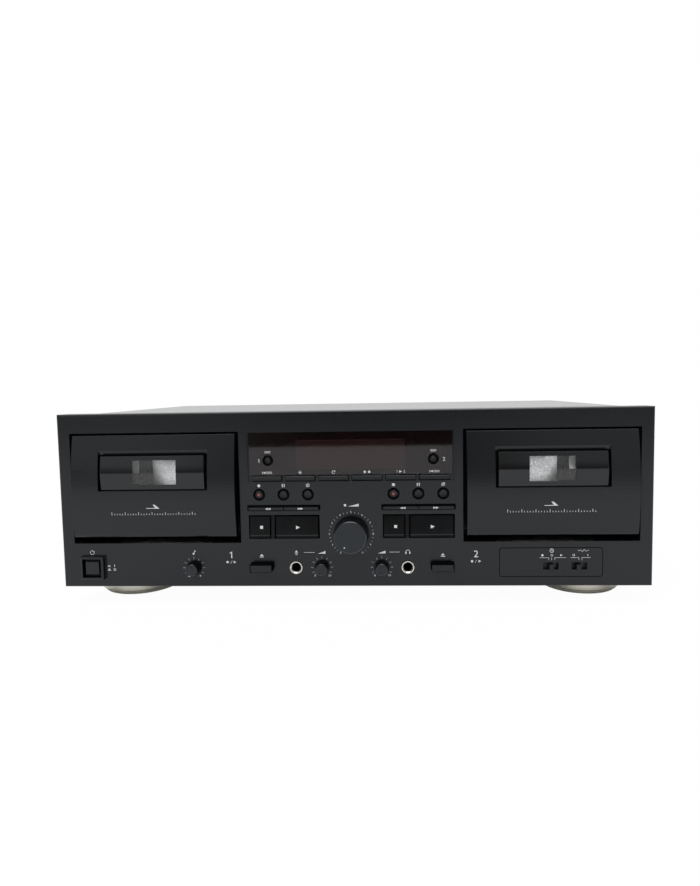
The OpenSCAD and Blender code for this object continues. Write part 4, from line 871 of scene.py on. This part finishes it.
def drafted_keys():
    """Wind, stop and play keys with drafted heads.

    Their black sides and tops, and a dark bevel along the taller ones, are painted shade.
    """
    wind = (57.2, 61.4, 57.55, 60.05)
    tall = (36.6, 53.4, 36.75, 52.65)
    for deck in (1, 2):
        for key, (low_v, high_v, foot, top), (left, right), finish in (
                ("rewind", wind, (0.7, 0.0), key_satin), ("forward", wind, (0.0, 0.9), key_satin),
                ("stop", tall, (0.45, 0.45), key_gloss), ("play", tall, (0.3, 0.75), key_gloss)):
            node = f"{key}_button_{deck}"
            low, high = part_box(node)
            middle = (low[0] + high[0]) / 2
            bm = cad_copy(node)
            for vert in bm.verts:
                u, v = (vert.co.y - FRONT) / MM, (vert.co.z - BASE) / MM
                if u > PANEL_BACK:
                    continue
                vert.co.x = low[0] + left * MM if vert.co.x < middle else high[0] - right * MM
                v = foot + (v - low_v) * (top - foot) / (high_v - low_v)
                vert.co.z = BASE + (v + 0.8 if finish is key_gloss and u < CREST else v) * MM
            if finish is key_gloss:
                crest = [edge for edge in bm.edges if edge.calc_length() > 5 * MM
                         and all(vert.co.y < FRONT + CREST * MM for vert in edge.verts)]
                bmesh.ops.bevel(bm, geom=crest, offset=0.4 * MM, offset_type="OFFSET", segments=1,
                                affect="EDGES")
            made = piece_from(bm, f"{node}_head", node, finish)
            # Faces not toward the front take black ink as painted shade; faces turned down take the darker
            # bevel copy as painted shade, and faces turned a little down take the lighter satin, a painted
            # highlight line on their real slant.
            face_finishes(made, (mask_ink, key_bevel, key_satin), lambda way: (
                1 if way.y >= -0.6 else 2 if way.z < -0.4 else 3 if way.z < -0.1 else 0))
            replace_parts(made, node)


def eject_heads():
    """Eject keys with a full-height face; black sides and a black line beside each one's outer end are
    painted shade.
    """
    sheet = Sheet()
    for deck, line in ((1, -75.6), (2, 75.15)):
        node = f"eject_button_{deck}"
        low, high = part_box(node)
        middle = (low[0] + high[0]) / 2
        bm = cad_copy(node)
        for vert in bm.verts:
            if vert.co.y < FRONT - 6.0 * MM and vert.co.z > BASE + 15.5 * MM:
                vert.co.z = BASE + (17.9 if vert.co.y < FRONT - 6.8 * MM else 18.05) * MM
            if vert.co.y < FRONT + PANEL_BACK * MM and abs(vert.co.x) > abs(middle):
                vert.co.x -= math.copysign(0.7 * MM, middle)
        made = piece_from(bm, f"{node}_head", node, key_satin)
        # Sides and top in black ink: painted shade.
        face_finishes(made, (mask_ink,), lambda way: int(way.y > -0.8))
        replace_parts(made, node)
        # Black line beside the key's outer end: painted shade in the gap.
        sheet.bar(line, 13.6, 1.2 if deck == 1 else 0.4, 6.4)
    sheet.lay("eject_lines", "cabinet", "front_panel", mask_ink, "black")


def switch_frame():
    """Black line in the engraved frame round the two slide switches."""
    sheet = Sheet()
    x, half_x, v, half_v, corner = FRAME
    for way in (-1, 1):
        sheet.bar(x, v + way * half_v, 2 * (half_x - corner), FRAME_LINE)
        sheet.bar(x + way * half_x, v, FRAME_LINE, 2 * (half_v - corner))
    for cx, cv, start in CORNERS:
        spot = x + cx * (half_x - corner), v + cv * (half_v - corner)
        sheet.arc(*spot, corner, FRAME_LINE, start, start + 90, 8)
    sheet.lay("switch_frame", "cabinet", "front_panel", mask_ink, "black")


def wind_lips():
    """Lips that narrow the wind keys' openings to the drafted heads."""
    bm = bmesh.new()
    for side in (-1, 1):
        for v0, v1 in ((56.76, 57.2), (61.25, 61.84)):
            outline = ((0.0, v0), (0.0, v1), (1.0, v1), (1.0, v0))
            bar_of(outline, BLOCK * side - 26.9, BLOCK * side + 26.9, bm)
    piece_from(bm, "wind_lips", "cabinet", panel_paint)


def record_lamps():
    lamp = Finish("record_lamp_red")
    glow = lamp.noise(900.0, 2.0)
    lamp.colour(lamp.tint(glow, (0.16, 0.032, 0.026), (0.23, 0.050, 0.042)))
    lamp.rough(lamp.spread(glow, 0.22, 0.36))
    lamp.bump(glow, 0.00001, 0.3)
    for deck, side in DECKS:
        node = f"record_button_{deck}"
        centre = ((BLOCK * side - ROUND_STEP) * MM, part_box(node)[0][1], BASE + ROUND_ROW * MM)
        bm = turned([(0, -0.1), (1.15, -0.1), (1.15, 0.05), (0.95, 0.16), (0.55, 0.24), (0, 0.27)], centre)
        piece_from(bm, f"record_lamp_{deck}", node, lamp.mat)


def door_fronts():
    """Each door's moulding with its two upright front edges rounded off."""
    for deck in (1, 2):
        node = f"door_front_{deck}"
        low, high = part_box(node)
        bm = cad_copy(node)
        bmesh.ops.dissolve_limit(bm, angle_limit=math.radians(0.1), verts=bm.verts, edges=bm.edges)
        ends = (low[0], high[0])
        upright = [edge for edge in bm.edges if len(edge.link_faces) == 2
                   and any(all(abs(vert.co.x - x) < 0.00001 for vert in edge.verts) for x in ends)
                   and min(face.normal.y for face in edge.link_faces) < -0.5]
        bmesh.ops.bevel(bm, geom=upright, offset=0.8 * MM, offset_type="OFFSET", segments=3, profile=0.5,
                        affect="EDGES", clamp_overlap=True)
        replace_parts(piece_from(bm, f"door_moulding_{deck}", f"door_{deck}", door_paint), node)


def door_windows():
    """Each window as a two-shot moulding: a black gloss surround with one clear rectangle in it."""
    for deck, side in DECKS:
        node = f"door_window_{deck}"
        left, right = CLEAR[deck]
        for name, how, trim, finish in (("window_surround", "DIFFERENCE", 0.0, window_black),
                                        ("window_clear", "INTERSECT", 0.02, window_smoke)):
            holder = solid_bar(name, pane_outline(), DECK * side - PANE_HALF, DECK * side + PANE_HALF)
            low, high = CLEAR_LOW + trim, CLEAR_HIGH - trim
            outline = ((-9.0, low), (-9.0, high), (0.4, high), (0.4, low))
            cutter = solid_bar("cutter", outline, left + trim, right - trim)
            cut = holder.modifiers.new("cut", "BOOLEAN")
            cut.operation, cut.object, cut.solver = how, cutter, "EXACT"
            shaped = baked(holder)
            bpy.data.objects.remove(cutter)
            bm = bmesh.new()
            bm.from_mesh(shaped)
            bpy.data.meshes.remove(shaped)
            made = piece_from(bm, f"{name}_{deck}", f"door_{deck}", finish)
            if how == "DIFFERENCE":
                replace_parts(made, node)
            else:
                face_finishes(made, (window_black,), lambda way: int(abs(way.y) < 0.5))


def pane_outline():
    """A pane's section: a bowed wall from lower to upper edge, and a mounting flange at each end."""
    centre = PANE_FRONT + PANE_BOW
    rise = [PANE_LOW + (PANE_HIGH - PANE_LOW) * k / 24 for k in range(25)]
    front = [(centre - math.sqrt(PANE_BOW ** 2 - (v - PANE_PEAK) ** 2), v) for v in rise]
    inner = PANE_BOW - PANE_WALL
    hollow = [v for v in rise if PANE_LOW + PANE_WALL < v < PANE_HIGH - PANE_WALL]
    back = [(centre - math.sqrt(inner ** 2 - (v - PANE_PEAK) ** 2), v) for v in reversed(hollow)]
    top = [(0.7, PANE_HIGH), (0.7, PANE_HIGH + 4.9), (2.1, PANE_HIGH + 4.9), (2.1, hollow[-1])]
    foot = [(2.1, hollow[0]), (2.1, PANE_LOW - 4.9), (0.7, PANE_LOW - 4.9), (0.7, PANE_LOW)]
    return front + top + back + foot


def window_seals():
    """Black strip filling the gap above each pane, as painted shade."""
    for deck, side in DECKS:
        profile = ((-1.3, PANE_HIGH + 0.05), (-1.3, PANE_HIGH + 0.9), (-1.1, PANE_HIGH + 1.05),
                   (0.6, PANE_HIGH + 1.05), (0.6, PANE_HIGH + 0.05))
        bm = bar_of(profile, DECK * side - 40.6, DECK * side + 40.6)
        piece_from(bm, f"window_seal_{deck}", f"door_{deck}", mask_ink)


def key_ribs():
    """Rib between each stop and play key, as steep as the keys' faces, with black lines beside it as painted
    shade.
    """
    bm = bmesh.new()
    for side in (-1, 1):
        middle = BLOCK * side + RIB
        profile = ((1.25, 36.2), (-0.8, 36.2), (-1.0, 36.5), (0.7, 53.8), (1.25, 53.8))
        bar_of(profile, middle - 1.25, middle + 1.25, bm)
    piece_from(bm, "key_ribs", "cabinet", key_gloss)
    # Black lines in the gaps beside each rib: painted shade.
    sheet = Sheet()
    for side in (-1, 1):
        for edge in (-1, 1):
            sheet.bar(BLOCK * side + RIB + edge * 1.6, 45.0, 0.66, 17.5)
    sheet.lay("rib_gaps", "cabinet", "front_panel", mask_ink, "black")


def bar_of(profile, x0, x1, bm=None):
    """Closed bar along X with an outline of (depth behind the panel's face, height), in millimetres."""
    bm = bm or bmesh.new()
    return skin(bm, [[bm.verts.new((x * MM, FRONT + u * MM, BASE + v * MM)) for u, v in profile]
                     for x in (x0, x1)])


def solid_bar(name, profile, x0, x1):
    """A bar as a plain object, with its faces turned outwards."""
    bm = bar_of(profile, x0, x1)
    bmesh.ops.recalc_face_normals(bm, faces=bm.faces)
    return object_of(bm, name)


def soft_plate(x, v, half_x, half_v, depths, corner=1.2):
    """Thin plate with rounded corners and a broken front edge; depths run from back to front."""
    bm = bmesh.new()
    outline = [(cx * (half_x - corner) + corner * math.cos(t), cv * (half_v - corner) + corner * math.sin(t))
               for cx, cv, start in CORNERS for t in (math.radians(start + 22.5 * k) for k in range(5))]
    rings = []
    for inset, u in ((0.0, depths[0]), (0.0, depths[1] + 0.12), (0.12, depths[1])):
        wide, tall = 1 - inset / half_x, 1 - inset / half_v
        rings.append([bm.verts.new(((x + a * wide) * MM, FRONT + u * MM, BASE + (v + b * tall) * MM))
                      for a, b in outline])
    return skin(bm, rings)


def reel_plates():
    """Blasted silver plate on the well's back, between the reel spindles."""
    silver = sparkle_plate()
    for deck, side in DECKS:
        plate = soft_plate((DECK - 3.7) * side, 83.0, 12.3, 12.6, (18.59, 18.55))
        piece_from(plate, f"reel_plate_{deck}", "cabinet", silver)


def cassette_springs():
    """Two leaf springs on each holder, hanging behind the window's upper half."""
    for deck, side in DECKS:
        bm = bmesh.new()
        for way in (-1, 1):
            middle = DECK * side + way * 16.2
            bow = [4.62 + 1.5 * math.sin(math.pi * k / 16) ** 2 for k in range(13)]
            path = [(101.5, bow[0])] + [(99.6 - 1.2 * k, bow[k]) for k in range(13)]
            rows = [[bm.verts.new(((middle + across * 2.3) * MM, FRONT + (u + lift) * MM, BASE + v * MM))
                     for across, lift in ((-1, 0), (1, 0), (1, 0.3), (-1, 0.3))] for v, u in path]
            skin(bm, rows)
        piece_from(bm, f"cassette_springs_{deck}", f"door_{deck}", spring_satin)


def socket_rings():
    """Insulating rings round the rear sockets: red on the lower row, white on the upper."""
    profile = [(4.25, 0.02), (4.9, 0.02), (4.9, 0.3), (4.75, 0.42), (4.4, 0.42), (4.25, 0.3), (4.25, 0.02)]
    for name, v, colour in (("red_rings", 52.0, (0.42, 0.012, 0.014)),
                            ("white_rings", 72.0, (0.72, 0.72, 0.70))):
        rings = bmesh.new()
        for x in (150.0, 170.0):
            turned(profile, (x * MM, REAR + 1.2 * MM, BASE + v * MM), way=1, bm=rings)
        piece_from(rings, name, "cabinet", moulded(name, colour, 0.35, vary=0.05, rub=1.1))


def counter_collars():
    """Black collars in the display window's two button holes."""
    profile = [(3.95, -0.78), (3.95, -0.42), (3.7, -0.3), (2.75, -0.6), (2.75, -0.78), (3.95, -0.78)]
    collars = bmesh.new()
    for side in (-1, 1):
        turned(profile, (side * COUNTER_X * MM, FRONT, BASE + COUNTER_ROW * MM), bm=collars)
    piece_from(collars, "counter_collars", "cabinet", mask_ink)


for make in (level_knobs, knob_prints, drafted_keys, wind_lips, eject_heads, switch_frame, key_prints,
             key_ribs, record_lamps, door_fronts, door_windows, window_seals, reel_plates,
             cassette_springs, counter_collars, socket_rings):
    make()


# Studio

def studio_floor():
    made = Finish("studio_paper")
    made.set(Specular_IOR_Level=0.1)
    fibre = made.noise(420.0, 3.0)
    made.colour(made.tint(fibre, (0.86, 0.86, 0.86), (0.90, 0.90, 0.90)))
    made.rough(made.spread(fibre, 0.75, 0.9))
    path = made.node("LightPath").outputs
    seen = made.math("MAXIMUM", path["Is Camera Ray"], path["Is Transmission Ray"])
    share = made.math("MAXIMUM", made.math("MULTIPLY", seen, 0.97),
                      made.math("MULTIPLY", path["Is Glossy Ray"], 0.05))
    made.blend(share, made.node("Emission", {"Strength": 1.0}))
    bm = bmesh.new()
    near, far = FRONT - 1.22, 3.0
    bm.faces.new([bm.verts.new(spot) for spot in ((-3, near, 0), (3, near, 0), (3, far, 0), (-3, far, 0))])
    floor = object_of(bm, "studio_floor")
    floor.data.materials.append(made.mat)


def studio_world():
    """White to the camera and through glass; to the rest, a white wall behind and a dim room in front."""
    world = bpy.data.worlds.new("studio_world")
    scene.world = world
    world.use_nodes = True
    tree = world.node_tree
    tree.nodes.clear()

    calc = partial(tree_math, tree)

    def ramp(source, start, end, low, high):
        return tree_spread(tree, source, low, high, start, end)

    coords = new_node(tree, "ShaderNodeTexCoord").outputs["Generated"]
    x, y, z = new_node(tree, "ShaderNodeSeparateXYZ", (coords,)).outputs
    back = ramp(y, 0.0, 0.5, 0.03, 1.0)
    above = ramp(z, 0.5, 0.85, 0.0, 0.6)
    left = calc("MULTIPLY", ramp(x, -0.12, -0.36, 0.0, 1.2), ramp(x, -0.85, -0.5, 0.25, 1.0))
    right = calc("MULTIPLY", ramp(x, 0.05, 0.25, 0.0, 0.9), ramp(x, 0.85, 0.45, 0.25, 1.0))
    sides = calc("MULTIPLY", calc("MAXIMUM", left, right), ramp(z, -0.06, 0.12, 0.25, 0.8))
    level = calc("MAXIMUM", calc("MAXIMUM", back, above), sides)
    path = new_node(tree, "ShaderNodeLightPath").outputs
    box = calc("MULTIPLY", ramp(z, 0.86, 0.93, 0.0, 4.0), path["Is Glossy Ray"])
    soft = new_node(tree, "ShaderNodeBackground", {"Strength": calc("MAXIMUM", level, box)})
    white = new_node(tree, "ShaderNodeBackground", {"Color": (1, 1, 1, 1)})
    shown = calc("MAXIMUM", path["Is Camera Ray"], path["Is Transmission Ray"])
    mix = new_node(tree, "ShaderNodeMixShader", (shown, soft.outputs[0], white.outputs[0]))
    new_node(tree, "ShaderNodeOutputWorld", {"Surface": mix.outputs[0]})


def soft_sun(name, way, level, softness):
    """A far, wide lamp that lights the floor evenly; gloss shows only floor and room."""
    light = bpy.data.lights.new(name, "SUN")
    light.energy = level
    light.angle = math.radians(softness)
    lamp = bpy.data.objects.new(name, light)
    lamp.rotation_euler = Vector(way).to_track_quat("-Z", "Y").to_euler()
    lamp.location = -Vector(way)
    lamp.visible_glossy = False
    scene.collection.objects.link(lamp)


studio_floor()
studio_world()
soft_sun("key_lamp", (0.35, 1.0, -1.35), 2.6, 45.0)
